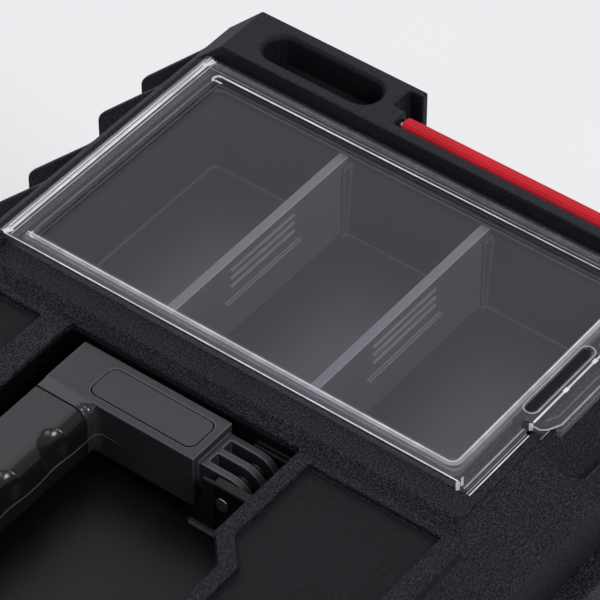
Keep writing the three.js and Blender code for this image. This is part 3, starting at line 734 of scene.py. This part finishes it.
class TOOLBOX_OT_organizers(ToolboxOperator, bpy.types.Operator):
    """Rounds and paints the bins and their dividers"""

    bl_idname = "toolbox.organizers"
    bl_label = "Bins and dividers"

    def execute(self, context):
        finish, edges = self.finish, self.edges
        skin = {"shine": 0.5, "grain": 0.4 * MM, "height": 0.03 * MM}
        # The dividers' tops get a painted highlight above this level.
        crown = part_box("divider_back_right")[1].z - 0.4 * MM
        grey = satin_plastic("bin_satin", finish.bin, gloss=0.32, scuffs=0.1, **skin)
        pale = satin_plastic("divider_satin", finish.divider, gloss=0.34, scuffs=0.1, crown=crown,
                             **skin)
        # Painted highlights: paler copies of the bin and divider plastic on the rounded edges, where
        # light catches them.
        lit = satin_plastic("bin_edge_satin", times(finish.bin, 4.5), gloss=0.4, **skin)
        ribs = satin_plastic("divider_edge_satin", times(finish.divider, 3.6), gloss=0.4, **skin)
        self.per_side("organizer_bin", edges.bin, grey, "bin_plastic", edge_material=lit)
        for stem in ("divider_back", "divider_front"):
            self.per_side(stem, edges.divider, pale, "bin_plastic", segments=2, edge_material=ribs)
        return {"FINISHED"}


class TOOLBOX_OT_handle(ToolboxOperator, bpy.types.Operator):
    """Shapes and paints the carry handle: frame, collars, grip and inlays"""

    bl_idname = "toolbox.handle"
    bl_label = "Carry handle"
    group = "toolbox_grip"

    ARM_WIDTH = 21.8 * MM
    # The frame's block inside the collar, from the bar's back and top
    BLOCK_BACK, BLOCK_FRONT, BLOCK_TOP = 1 * MM, 20.5 * MM, 10 * MM
    # The rim of the knuckle's bore closes in round the pin
    RIM_LOW, RIM_HIGH, RIM_SHARE = 4 * MM, 5 * MM, 0.7
    # Steps along the bar and down its flat sides
    STEP, FLAT_STEPS, ARM_STEPS = 0.35 * MM, 16, 24
    # A shallow dip leads into each finger hollow; its reach is in shares of the hollow's
    DIP, DIP_WIDTH, DIP_HEIGHT = 0.175 * MM, 1.6, 1.2
    END_ROUNDING = 0.3 * MM
    ARM_LINE, LINE_WIDTH = 16 * MM, 0.42 * MM
    # The arm's lower half, from the pin, the top, the foot and the bar's front
    ARM_FROM_PIN, ARM_SPLIT, FOOT_EDGE, ARM_IN_BAR = 16.7 * MM, 8 * MM, 0.9 * MM, 2 * MM

    def execute(self, context):
        finish, edges = self.finish, self.edges
        plain = finish.handle
        hard = satin_plastic("handle_satin", plain, gloss=0.28, shine=0.38)
        # Painted highlight: a paler, glossier copy of the handle plastic on the frame's rounded
        # edges.
        lit = satin_plastic("handle_edge", times(plain, 2.2), gloss=0.14, shine=0.9,
                            height=0.03 * MM)
        soft = satin_plastic("grip_satin", times(plain, 0.3), gloss=0.12, shine=0.46,
                             grain=0.35 * MM, height=0.02 * MM, scuffs=0.05)
        bright = satin_plastic("collar_satin", plain, gloss=0.08, shine=0.5, height=0.02 * MM)
        # Painted highlight: the raised parting line is painted paler than the handle, where light
        # catches it.
        seam = satin_plastic("parting_satin", times(plain, 3.2), gloss=0.4, shine=0.4,
                             grain=0.4 * MM, height=0.02 * MM)
        frame_piece = self.add("carry_frame", self.frame_mesh(), hard, ["handle_frame"])
        frame_piece.data.materials.append(lit)
        rounded(frame_piece, edges.handle).modifiers["rounded_edges"].material = 1
        self.per_side("handle_inlay", edges.handle * 0.4, hard, "handle_plastic")
        self.add("carry_grip", mesh_from("carry_grip", *self.grip()), soft, ["handle_grip"])
        for side in SIDES:
            mirror = side == "left"
            for name, made, material in (
                    ("collar", self.collar(), bright), ("parting_line", self.parting_line(), seam)):
                self.add(f"{name}_{side}", mesh_from(name, *made, mirror=mirror), material)
            low = mesh_from("arm_underside", *self.arm_underside(), smooth=False, mirror=mirror)
            rounded(self.add(f"arm_underside_{side}", low, hard), edges.handle)
        return {"FINISHED"}

    @staticmethod
    def add(name, mesh, material, stands_for=()):
        return add_piece(name, mesh, material, "carry_handle", stands_for)

    def plan(self):
        """The bar's front, back and end, its levels and the arm's inner side."""
        low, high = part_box("handle_grip")
        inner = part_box("handle_frame")[1].x - self.ARM_WIDTH
        return Bar(low.y + self.sizes.front, high.y, high.x + self.sizes.longer, low.z, high.z,
                   inner)

    def frame_mesh(self):
        """The CAD frame with its block inside the collar cut back and fine smooth knuckles."""
        bar, pin = self.plan(), middle_of("handle_pin_right")
        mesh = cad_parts["handle_frame"].data.copy()
        made = bmesh.new()
        made.from_mesh(mesh)
        bmesh.ops.remove_doubles(made, verts=made.verts, dist=WELD_GAP)
        for point in made.verts:
            if abs(point.co.x) < bar.end:
                point.co.y = min(max(point.co.y, bar.back - self.BLOCK_FRONT),
                                 bar.back - self.BLOCK_BACK)
                point.co.z = min(point.co.z, bar.top - self.BLOCK_TOP)
            reach = Vector((point.co.y - pin.y, point.co.z - pin.z))
            if self.RIM_LOW < reach.length < self.RIM_HIGH:
                point.co.y, point.co.z = Vector((pin.y, pin.z)) + reach * self.RIM_SHARE
        bmesh.ops.dissolve_limit(made, angle_limit=FLAT_ANGLE, verts=made.verts, edges=made.edges)
        made.to_mesh(mesh)
        made.free()
        mesh.materials.clear()
        mesh.set_sharp_from_angle(angle=math.radians(30))
        return mesh

    def outline(self, fillet=0.0):
        """The bar's section: points with the angle they face, from the top's back edge round."""
        sizes, bar = self.sizes, self.plan()
        back, front, low = sizes.back_radius, sizes.front_radius, sizes.low_radius
        corners = (
            (bar.back - back, bar.top - back, back, 0, 6),
            (bar.front + front, bar.top - front, front + fillet, 90, 18),
            (bar.front + low, bar.low + low, low + fillet, 180, 10),
            (bar.back - back, bar.low + back, back, 270, 6))
        arcs = []
        for y, z, radius, start, steps in corners:
            turns = [start + 90 * i / steps for i in range(steps + 1)]
            arcs.append([(y + radius * math.cos(math.radians(t)),
                          min(max(z + radius * math.sin(math.radians(t)), bar.low), bar.top), t)
                         for t in turns])
        ring = []
        for arc, after in zip(arcs, arcs[1:] + arcs[:1]):
            ring += arc
            (y0, z0, turn), (y1, z1, _) = arc[-1], after[0]
            for i in range(1, self.FLAT_STEPS):
                part = i / self.FLAT_STEPS
                ring.append((y0 + (y1 - y0) * part, z0 + (z1 - z0) * part, turn))
        return ring

    def grip(self):
        """A bar with a round front edge and finger hollows pressed into it."""
        bar, ring = self.plan(), self.outline()
        climbs = self.climbs(ring, bar.top - self.sizes.parting)
        steps = int(2 * bar.end / self.STEP)
        return bridged([
            [self.pressed(-bar.end + 2 * bar.end * i / steps, spot, climb, bar.end)
             for spot, climb in zip(ring, climbs)]
            for i in range(steps + 1)])

    @staticmethod
    def climbs(ring, level):
        """How far each point lies above the parting line, along the surface."""
        walked, total, start = [], 0.0, None
        for i, (y, z, turn) in enumerate(ring):
            if i:
                total += math.hypot(y - ring[i - 1][0], z - ring[i - 1][1])
            walked.append(total)
            if start is None and turn == 180 and z <= level:
                start = total
        return [start - distance for distance in walked]

    def pressed(self, x, spot, climb, end):
        """A point of the grip after the finger hollows and the rounding of its ends."""
        y, z, turn = spot
        inward = self.hollow(x, climb) + max(0.0, self.END_ROUNDING - (end - abs(x)))
        facing = math.radians(turn)
        return Vector((x, y - math.cos(facing) * inward, z - math.sin(facing) * inward))

    def hollow(self, x, climb):
        """How deep the surface is pressed in at a place along the bar and up its front."""
        sizes = self.sizes
        half, rise = sizes.wide / 2, sizes.tall / 2
        depth = 0.0
        for i in range(sizes.hollows):
            across = (abs(x) - (sizes.first - i * sizes.pitch)) / half
            left = 1 - across ** 2 - ((climb - rise) / rise) ** 2
            if left > 0:
                depth += sizes.deep * left ** 0.9
            side, up = across / self.DIP_WIDTH, climb / (rise * self.DIP_HEIGHT)
            if abs(side) < 1 and abs(up) < 1:
                depth += self.DIP * (1 + math.cos(math.pi * side)) * (1 + math.cos(math.pi * up))
        return depth

    def inner_corner(self, steps=12):
        """Steps through the hollow corner between grip and arm: place and growth."""
        fillet = self.sizes.fillet
        start = self.plan().inner - fillet
        turns = [math.pi / 2 * i / steps for i in range(steps + 1)]
        return [(start + fillet * math.sin(t), fillet * (1 - math.cos(t))) for t in turns]

    def collar(self):
        """The end of the bar that runs into the arm through a hollow corner."""
        bar = self.plan()
        start = bar.end + self.sizes.seam
        stations = [(start, -0.3 * MM), (start + 0.1 * MM, -0.12 * MM), (start + 0.3 * MM, 0.0),
                    *self.inner_corner(), (bar.inner + 0.8 * MM, self.sizes.fillet)]
        rings = []
        for x, growth in stations:
            shrink = min(growth, 0.0)
            rings.append([Vector((x, y + math.cos(math.radians(t)) * shrink,
                                  z + math.sin(math.radians(t)) * shrink + 0.02 * MM))
                          for y, z, t in self.outline(max(growth, 0.0))])
        return bridged(rings)

    def parting_line(self, steps=80):
        """The fine raised line where the handle's halves meet."""
        sizes, bar = self.sizes, self.plan()
        level = bar.top - sizes.parting
        places = [bar.end * i / steps for i in range(steps + 1)]
        on_grip = [Vector((x, bar.front + self.hollow(x, 0.0), level)) for x in places]
        on_corner = [Vector((x, bar.front - growth, level)) for x, growth in self.inner_corner()]
        on_arm = [Vector((bar.inner, bar.front - sizes.fillet - self.ARM_LINE * i / self.ARM_STEPS,
                          level)) for i in range(1, self.ARM_STEPS + 1)]
        return bead(on_grip + on_corner + on_arm, self.LINE_WIDTH, fade=self.ARM_STEPS)

    def arm_underside(self):
        """The arm's lower half, which closes the arch between knuckles and grip."""
        bar = self.plan()
        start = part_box("handle_pin_right")[0].y + self.ARM_FROM_PIN
        end = bar.front + self.ARM_IN_BAR
        split, foot = bar.top - self.ARM_SPLIT, bar.top - self.sizes.arm_low
        outline = [(start, split), (start, foot + self.FOOT_EDGE), (start + 1 * MM, foot),
                   (end, foot), (end, split)]
        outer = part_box("handle_frame")[1].x
        return prism(outline, bar.inner - 0.06 * MM, outer - 0.1 * MM)


class TOOLBOX_OT_covers(ToolboxOperator, bpy.types.Operator):
    """Makes the clear covers see-through and adds painted highlight lines where light gathers in them
    and painted shade lines
    """

    bl_idname = "toolbox.covers"
    bl_label = "Clear covers"
    group = "toolbox_cover"

    # Faint painted highlight rungs between the far edge and the panel, front to back, and their slant
    RUNGS_MM = (39, 33.4, 10.4, 6, -16.5, -23.5, -50, -56)
    RUNG_SLANT = 1.6 * MM
    POST_FACE, FRONT_FACE = (-1, -1, 0.2), (-0.3, -1, 0.2)

    def execute(self, context):
        finish, edges = self.finish, self.edges
        sheet = clear_sheet("clear_sheet", finish.clear, finish.veil)
        # Painted highlight: a faint pale line on the covers' rounded edges.
        edge = clear_rim("clear_edge", finish.rim, finish.clear, 0.07)
        # Painted highlights in three strengths, the brightest with a faint glow
        looks = {
            "bright": clear_rim("clear_bright", finish.rim, finish.clear, 0.88, glow=0.16),
            "band": clear_rim("clear_band", finish.rim, finish.clear, 0.42),
            "faint": clear_rim("clear_faint", finish.rim, finish.clear, 0.13),
            # Painted shade: a black line that darkens what lies behind it
            "shade": clear_rim("clear_shade", finish.black, finish.clear, 0.8, shine=0.05)}
        for side in SIDES:
            soften(f"organizer_cover_{side}", sheet, edges.cover, "clear_plastic",
                   segments=1, edge_material=edge)
            for name, made in (("bright", self.bright_lines()), ("band", self.bands()),
                               ("faint", self.faint_lines()), ("shade", self.shades())):
                mesh = mesh_from(f"cover_{name}", *made, mirror=side == "left")
                add_piece(f"cover_{name}_{side}", mesh, looks[name], f"cover_{side}")
        return {"FINISHED"}

    def plan(self):
        """The right cover's inner, outer, front and back edges, its lines' level and middle."""
        low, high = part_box("organizer_cover_right")
        front = low.y + self.sizes.tab_reach
        return Cover(low.x, high.x, front, high.y, high.z - 0.12 * MM, (low.x + high.x) / 2)

    def panel_path(self, inset, ahead, level):
        """Along the panel's inner side, round the corner and along its front."""
        sizes, cover = self.sizes, self.plan()
        radius = sizes.band_radius
        x, y = cover.near + inset, cover.front + ahead
        return [Vector((x, cover.back - sizes.band_back, level)),
                *corner_arc(x + radius, y + radius, level, radius, 180, 270),
                Vector((cover.far - sizes.panel_outer, y, level))]

    def across(self, y, level, width, inset=1 * MM):
        """A line from the inner to the outer side."""
        cover = self.plan()
        return strip_x(cover.near + inset, cover.far - inset, y, level, width)

    def front_lines(self, y, level, width):
        """A line along the front edge, left out where the tab stands."""
        cover, half = self.plan(), self.sizes.tab_half
        return [strip_x(cover.near + 0.2 * MM, cover.middle - half - 1.5 * MM, y, level, width),
                strip_x(cover.middle + half, cover.far - 0.2 * MM, y, level, width)]

    def bright_lines(self):
        """Painted highlights: the pale lines, posts and spots where the clear plastic catches the
        light most.
        """
        sizes = self.sizes
        near, far, front, back, top, middle = self.plan()
        foot = top - sizes.foot
        side, rear = far - sizes.panel_outer, back - sizes.panel_back
        curl, panel = rear - 1.5 * MM, near + sizes.band_inset
        tab, root = middle - sizes.tab_half + 1 * MM, front - 4.2 * MM
        tab_end = middle + sizes.tab_half - 1.5 * MM
        return joined(
            strip_y(near + sizes.line / 2, back - 1 * MM, front + 0.2 * MM, top, sizes.line),
            *[strip((x, front, top), (x, front, foot - 0.4 * MM), width, face)
              for x, width, face in ((near, 1.4 * MM, self.POST_FACE),
                                     (near + 2.6 * MM, 1.2 * MM, self.FRONT_FACE))],
            ribbon(self.panel_path(sizes.band_inset + 0.5 * MM, sizes.band_front + 0.5 * MM, top),
                   0.42 * MM),
            self.across(back - 3.9 * MM, top, 1.2 * MM),
            self.across(back - 2.2 * MM, top, 0.35 * MM, 4 * MM),
            strip_y(side, curl, front + sizes.band_front, top, 0.85 * MM, 0.3 * MM),
            ribbon(corner_arc(side - 2 * MM, curl, top, 2 * MM, 0, 150), 1.1 * MM),
            strip_y(side - 2.6 * MM, rear - 0.5 * MM, rear - 3.6 * MM, top - 0.4 * MM, 0.8 * MM),
            ribbon(corner_arc(panel + 0.8 * MM, rear - 1.6 * MM, top, 1.6 * MM, 60, 200), 0.8 * MM),
            strip((far - 6 * MM, back - 3.2 * MM, top), (far - 1.5 * MM, back - 5.4 * MM, top),
                  1.6 * MM),
            strip((near + 0.4 * MM, back - 2.6 * MM, top), (near + 3.6 * MM, back - 4.4 * MM, top),
                  2.2 * MM),
            *self.front_lines(front - 4.5 * MM, foot, sizes.fine),
            strip_x(tab + 0.5 * MM, tab_end, root, top - 0.2 * MM, 0.8 * MM),
            strip((tab, front - 3.6 * MM, top - 0.6 * MM), (tab, front - 3.6 * MM, foot - 2.6 * MM),
                  1.5 * MM, self.POST_FACE),
            *[strip_x(spot, spot + 2.4 * MM, root, top - 0.1 * MM, 1.5 * MM)
              for spot in (middle - 4 * MM, middle + 13.5 * MM)])

    def tab_outline(self, inset, level):
        """Round the tab's plate, from its inner root to its outer one."""
        cover, half = self.plan(), self.sizes.tab_half - inset
        ahead = cover.front - self.sizes.tab_reach + inset + 0.6 * MM
        rows = [(half, cover.front - 4.2 * MM), (half, ahead + 4.5 * MM),
                (half - 1.6 * MM, ahead + 2.4 * MM), (half - 6.5 * MM, ahead)]
        return ([Vector((cover.middle - x, y, level)) for x, y in rows]
                + [Vector((cover.middle + x, y, level)) for x, y in reversed(rows)])

    def slot_outline(self, level):
        """Round the slot behind the tab."""
        sizes, cover = self.sizes, self.plan()
        y = cover.front + (sizes.slot_back - sizes.slot_front) / 2
        radius = (sizes.slot_front + sizes.slot_back) / 2
        reach = sizes.slot_half - radius
        return (corner_arc(cover.middle - reach, y, level, radius, 90, 270, 10)
                + corner_arc(cover.middle + reach, y, level, radius, -90, 90, 10))

    def bands(self):
        """Wider, fainter painted highlights beside the bright ones."""
        sizes = self.sizes
        _, far, front, back, top, middle = self.plan()
        foot, side = top - sizes.foot, far - sizes.panel_outer
        tab = middle - sizes.tab_half
        return joined(
            ribbon(self.panel_path(sizes.band_inset, sizes.band_front, top - 0.05 * MM), sizes.band),
            self.across(back - 5.6 * MM, top, 0.8 * MM),
            self.across(back - 0.3 * MM, top - 1.6 * MM, sizes.fine),
            *self.front_lines(front - 2.3 * MM, top - sizes.sink + 0.1 * MM, 0.7 * MM),
            *self.front_lines(front - 3.4 * MM, foot, sizes.fine),
            strip_y(side + 1.5 * MM, back - 6 * MM, front + 1 * MM, top, 0.3 * MM),
            strip_y(side + 4.3 * MM, back - 2 * MM, front + 1 * MM, top, 0.3 * MM),
            ribbon(self.slot_outline(top), 0.7 * MM, closed=True),
            ribbon(self.tab_outline(0.0, top - 0.25 * MM), 0.8 * MM),
            strip_x(tab - 3 * MM, tab + 6 * MM, front - 7.7 * MM, foot - 1.9 * MM, 0.35 * MM))

    def faint_lines(self):
        """The faintest painted highlights: lines on inner edges, ribs near the hinge and rungs along
        the far edge.
        """
        sizes = self.sizes
        _, far, front, back, top, _ = self.plan()
        return joined(
            ribbon(self.panel_path(3.1 * MM, 3.0 * MM, top - 0.05 * MM), 1.4 * MM),
            ribbon(self.tab_outline(3.0 * MM, top - 0.3 * MM)[2:], 0.6 * MM),
            *[self.across(y, top, sizes.fine)
              for y in (back - 7.2 * MM, back - 8.2 * MM, back - sizes.panel_back)],
            *[strip_y(x, back - 2 * MM, front + 1 * MM, top, width)
              for x, width in ((far - 1.6 * MM, 0.8 * MM), (far - 3.2 * MM, 1.0 * MM))],
            *[strip((far - 0.6 * MM, y * MM, top), (far - 4.4 * MM, y * MM - self.RUNG_SLANT, top),
                    sizes.fine) for y in self.RUNGS_MM])

    def shades(self):
        """Painted shade: dark lines just inside the sunk panel's far and back walls, which face away
        from the light.
        """
        sizes, cover = self.sizes, self.plan()
        sunk, thin = cover.top - sizes.sink + 0.1 * MM, 0.5 * MM
        x = cover.far - sizes.panel_outer - 0.95 * MM
        y = cover.back - sizes.panel_back - 0.75 * MM
        low, ahead = cover.near + sizes.band_inset + 2 * MM, cover.front + sizes.band_front
        return joined(
            strip_y(x, y, ahead, sunk, 1.7 * MM),
            strip_y(x - 2.3 * MM, y - 2 * MM, ahead, sunk, thin),
            strip_x(low, x, y, sunk, 1.5 * MM),
            strip_x(low + 1 * MM, x, y - 1.7 * MM, sunk, thin))


class TOOLBOX_OT_lid_details(ToolboxOperator, bpy.types.Operator):
    """Adds the webs on the handle's brackets, the fillets at their feet, the slots' floors and a dark
    strip of painted shade seen through each cover's slot
    """

    bl_idname = "toolbox.lid_details"
    bl_label = "Lid details"
    group = "toolbox_lid"

    # Painted shade: a dark strip over the bin's front rim, under the cover's slot: reach to the front
    # and back, foot and top
    REST_AHEAD, REST_BEHIND, REST_LOW, REST_HIGH = 5.2 * MM, 3.6 * MM, 0.02 * MM, 0.16 * MM
    REST_LONGER = 2 * MM
    FLOOR_GAP, FLOOR_THICK = 0.1 * MM, 2 * MM

    def execute(self, context):
        finish = self.finish
        black = satin_plastic("bracket_plastic", finish.black, gloss=0.5, shine=0.2)
        # Painted highlight: the foot's fillet is painted paler than the black plastic, where light
        # catches it.
        pale = satin_plastic("fillet_plastic", times(finish.black, 3.5), gloss=0.4, shine=0.4)
        for name, made, material, width in (
                ("bracket_web", self.web(), black, 0.6 * MM),
                ("bracket_foot", self.foot(), pale, 0.1 * MM),
                ("ear_floor", self.ear_floor(), black, 0.8 * MM),
                ("tab_rest", self.tab_rest(), black, 0.04 * MM)):
            for side in SIDES:
                mesh = mesh_from(name, *made, smooth=False, mirror=side == "left")
                piece = add_piece(f"{name}_{side}", mesh, material, "lid")
                rounded(piece, width)
        return {"FINISHED"}

    def web(self):
        """The plate's forward part, which slopes down to the pocket's floor."""
        sizes, pin = self.sizes, middle_of("handle_pin_right")
        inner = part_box("handle_pin_right")[0].x
        top, floor = pin.z + sizes.web_top, pin.z - sizes.pocket
        outline = [(pin.y + 3 * MM, top), (pin.y + 8.5 * MM, top), (pin.y + 9 * MM, pin.z - 0.3 * MM),
                   (pin.y + sizes.web_reach, floor), (pin.y + 3 * MM, floor)]
        return prism(outline, inner - 0.05 * MM, inner + sizes.web_thick)

    def foot(self):
        """A small fillet where the plate meets the pocket's floor."""
        fillet, pin = self.sizes.fillet, middle_of("handle_pin_right")
        inner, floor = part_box("handle_pin_right")[0].x, pin.z - self.sizes.pocket
        section = ((0.2 * MM, 0), (0.2 * MM, fillet), (-fillet * 0.35, fillet * 0.35), (-fillet, 0))
        return bridged([[Vector((inner + x, y, floor + z)) for x, z in section]
                        for y in (pin.y + 1 * MM, pin.y + self.sizes.web_reach - 1.5 * MM)])

    def tab_rest(self):
        """Painted shade: a thin dark strip over the bin's front rim, which darkens what shows through
        the cover's slot.
        """
        low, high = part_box("organizer_bin_right")
        middle = (low.x + high.x) / 2
        half = self.scene.toolbox_cover.slot_half + self.REST_LONGER
        ahead, behind = low.y - self.REST_AHEAD, low.y + self.REST_BEHIND
        foot, top = high.z + self.REST_LOW, high.z + self.REST_HIGH
        outline = [(ahead, foot), (behind, foot), (behind, top), (ahead, top)]
        return prism(outline, middle - half, middle + half)

    def ear_floor(self):
        """A floor that makes the finger slot in the ear shallow."""
        sizes, high = self.sizes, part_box("lid_shell")[1]
        level, middle = high.z - sizes.slot_depth, high.x - sizes.slot_in
        half = sizes.slot_width / 2 - self.FLOOR_GAP
        reach = sizes.slot_length / 2 - half - self.FLOOR_GAP
        outline = (corner_arc(middle, sizes.slot_middle + reach, level, half, 0, 180, 16)
                   + corner_arc(middle, sizes.slot_middle - reach, level, half, 180, 360, 16))
        return bridged([outline, [p - Vector((0, 0, self.FLOOR_THICK)) for p in outline]])


class TOOLBOX_OT_stage(ToolboxOperator, bpy.types.Operator):
    """Sets up the floor, the soft lamps, the world and the camera"""

    bl_idname = "toolbox.stage"
    bl_label = "Stage"
    group = "toolbox_stage"

    FLOOR_HALF, FLOOR_GAP = 6.0, 0.1 * MM
    SENSOR_MM, CLIP_NEAR, CLIP_FAR = 36, 0.05, 50

    def execute(self, context):
        self.add_floor()
        self.add_world()
        self.add_lamps()
        self.add_camera()
        self.scene.view_settings.view_transform = "Standard"
        return {"FINISHED"}

    def add_floor(self):
        """A pale floor under the feet, which looks lighter to the camera alone."""
        stage = self.sizes
        made = bmesh.new()
        bmesh.ops.create_grid(made, x_segments=8, y_segments=8, size=self.FLOOR_HALF)
        mesh = bpy.data.meshes.new("floor")
        made.to_mesh(mesh)
        made.free()
        floor = bpy.data.objects.new("floor", mesh)
        floor.location.z = cad_box[0][2] - self.FLOOR_GAP
        self.scene.collection.objects.link(floor)
        material, paint = new_paint("pale_floor")
        where = paint.place()
        mottle = paint.noise(where, 120 * MM, 3, 0.55)
        tone = paint.blend(mottle, times(stage.floor, 0.97), times(stage.floor, 1.02))
        seen = paint.node("ShaderNodeLightPath", out="Is Camera Ray")
        lift = paint.blend(seen, (0, 0, 0), times((1, 1, 1), stage.lift))
        paint.finish(paint.plastic({
            "Base Color": tone, "Roughness": mottle * 0.1 + 0.8, "Specular IOR Level": 0.1,
            "Emission Color": lift, "Emission Strength": 1.0}))
        mesh.materials.append(material)

    def add_world(self):
        """Even light from all around, with a paler backdrop for the camera alone."""
        stage = self.sizes
        world = bpy.data.worlds.new("studio")
        self.scene.world = world
        paint = Paint(world)
        seen = paint.node("ShaderNodeLightPath", out="Is Camera Ray")
        shown = paint.blend(seen, tuple(stage.ambient), tuple(stage.backdrop))
        paint.finish(paint.node("ShaderNodeBackground", sockets={"Color": shown, "Strength": 1.0}),
                     "ShaderNodeOutputWorld")

    def lamp(self, name, direction, radiance, distance, width, height, tint=(1, 1, 1)):
        """A soft panel that faces the lid, with the brightness of its face."""
        data = bpy.data.lights.new(name, "AREA")
        data.shape = "RECTANGLE"
        data.size, data.size_y = width, height
        data.color = tint
        data.energy = radiance * math.pi * width * height
        lamp = bpy.data.objects.new(name, data)
        back = Vector(direction).normalized()
        lamp.location = middle_of("lid_shell") + back * distance
        lamp.rotation_euler = back.to_track_quat("Z", "Y").to_euler()
        lamp.visible_camera = False
        self.scene.collection.objects.link(lamp)

    def add_lamps(self):
        stage = self.sizes
        self.lamp("back_panel", (0.568, 0.435, 0.72), stage.panel,
                  distance=1.7, width=2.2, height=1.5, tint=(1.0, 0.985, 1.07))
        self.lamp("key_lamp", (0.2, -0.45, 0.86), stage.key / (math.pi * stage.key_width ** 2),
                  distance=1.4, width=stage.key_width, height=stage.key_width)
        self.lamp("top_panel", (-0.1, 0.35, 1.0), stage.top, distance=1.8, width=1.3, height=1.0)
        self.lamp("front_panel", (-0.75, -0.5, 0.3), stage.fill,
                  distance=1.7, width=1.2, height=0.8)
        self.lamp("front_box", (-0.06, -0.79, 0.6), stage.front,
                  distance=1.5, width=0.27, height=0.23)

    def add_camera(self):
        """The camera, turned about the upright axis and raised above the horizon."""
        stage = self.sizes
        turn, rise = stage.azimuth, stage.elevation
        back = Vector((math.sin(turn) * math.cos(rise), -math.cos(turn) * math.cos(rise),
                       math.sin(rise)))
        right = Vector((math.cos(turn), math.sin(turn), 0))
        pose = Matrix((right, back.cross(right), back)).transposed().to_4x4()
        pose.translation = Vector(stage.place)
        data = bpy.data.cameras.new("camera")
        data.lens = stage.lens
        data.sensor_width = self.SENSOR_MM
        data.clip_start, data.clip_end = self.CLIP_NEAR, self.CLIP_FAR
        camera = bpy.data.objects.new("camera", data)
        camera.matrix_world = pose
        self.scene.collection.objects.link(camera)
        self.scene.camera = camera


OPERATORS = (
    TOOLBOX_OT_shells, TOOLBOX_OT_latches, TOOLBOX_OT_metal, TOOLBOX_OT_end_handles,
    TOOLBOX_OT_organizers, TOOLBOX_OT_handle, TOOLBOX_OT_lid_details, TOOLBOX_OT_covers,
    TOOLBOX_OT_stage,
)
SETTINGS = {
    "toolbox_finish": ToolboxFinish,
    "toolbox_edges": ToolboxEdges,
    "toolbox_grip": ToolboxGrip,
    "toolbox_lid": ToolboxLid,
    "toolbox_cover": ToolboxCover,
    "toolbox_stage": ToolboxStage,
}


class TOOLBOX_PT_panel(bpy.types.Panel):
    """Lists the steps and settings of the toolbox"""

    bl_idname = "TOOLBOX_PT_panel"
    bl_label = "Toolbox"
    bl_space_type = "VIEW_3D"
    bl_region_type = "UI"
    bl_category = "Toolbox"

    def draw(self, context):
        for operator in OPERATORS:
            self.layout.operator(operator.bl_idname)
        for name, group in SETTINGS.items():
            box = self.layout.box()
            box.label(text=group.__doc__)
            for key in group.__annotations__:
                box.prop(getattr(context.scene, name), key)


def register():
    for group in SETTINGS.values():
        bpy.utils.register_class(group)
    for operator in OPERATORS:
        bpy.utils.register_class(operator)
    bpy.utils.register_class(TOOLBOX_PT_panel)
    for name, group in SETTINGS.items():
        setattr(bpy.types.Scene, name, bpy.props.PointerProperty(type=group))


def unregister():
    for name in SETTINGS:
        delattr(bpy.types.Scene, name)
    bpy.utils.unregister_class(TOOLBOX_PT_panel)
    for operator in reversed(OPERATORS):
        bpy.utils.unregister_class(operator)
    for group in reversed(SETTINGS.values()):
        bpy.utils.unregister_class(group)


def main():
    register()
    for operator in OPERATORS:
        _, name = operator.bl_idname.split(".")
        getattr(bpy.ops.toolbox, name)()


if __name__ == "__main__":
    main()
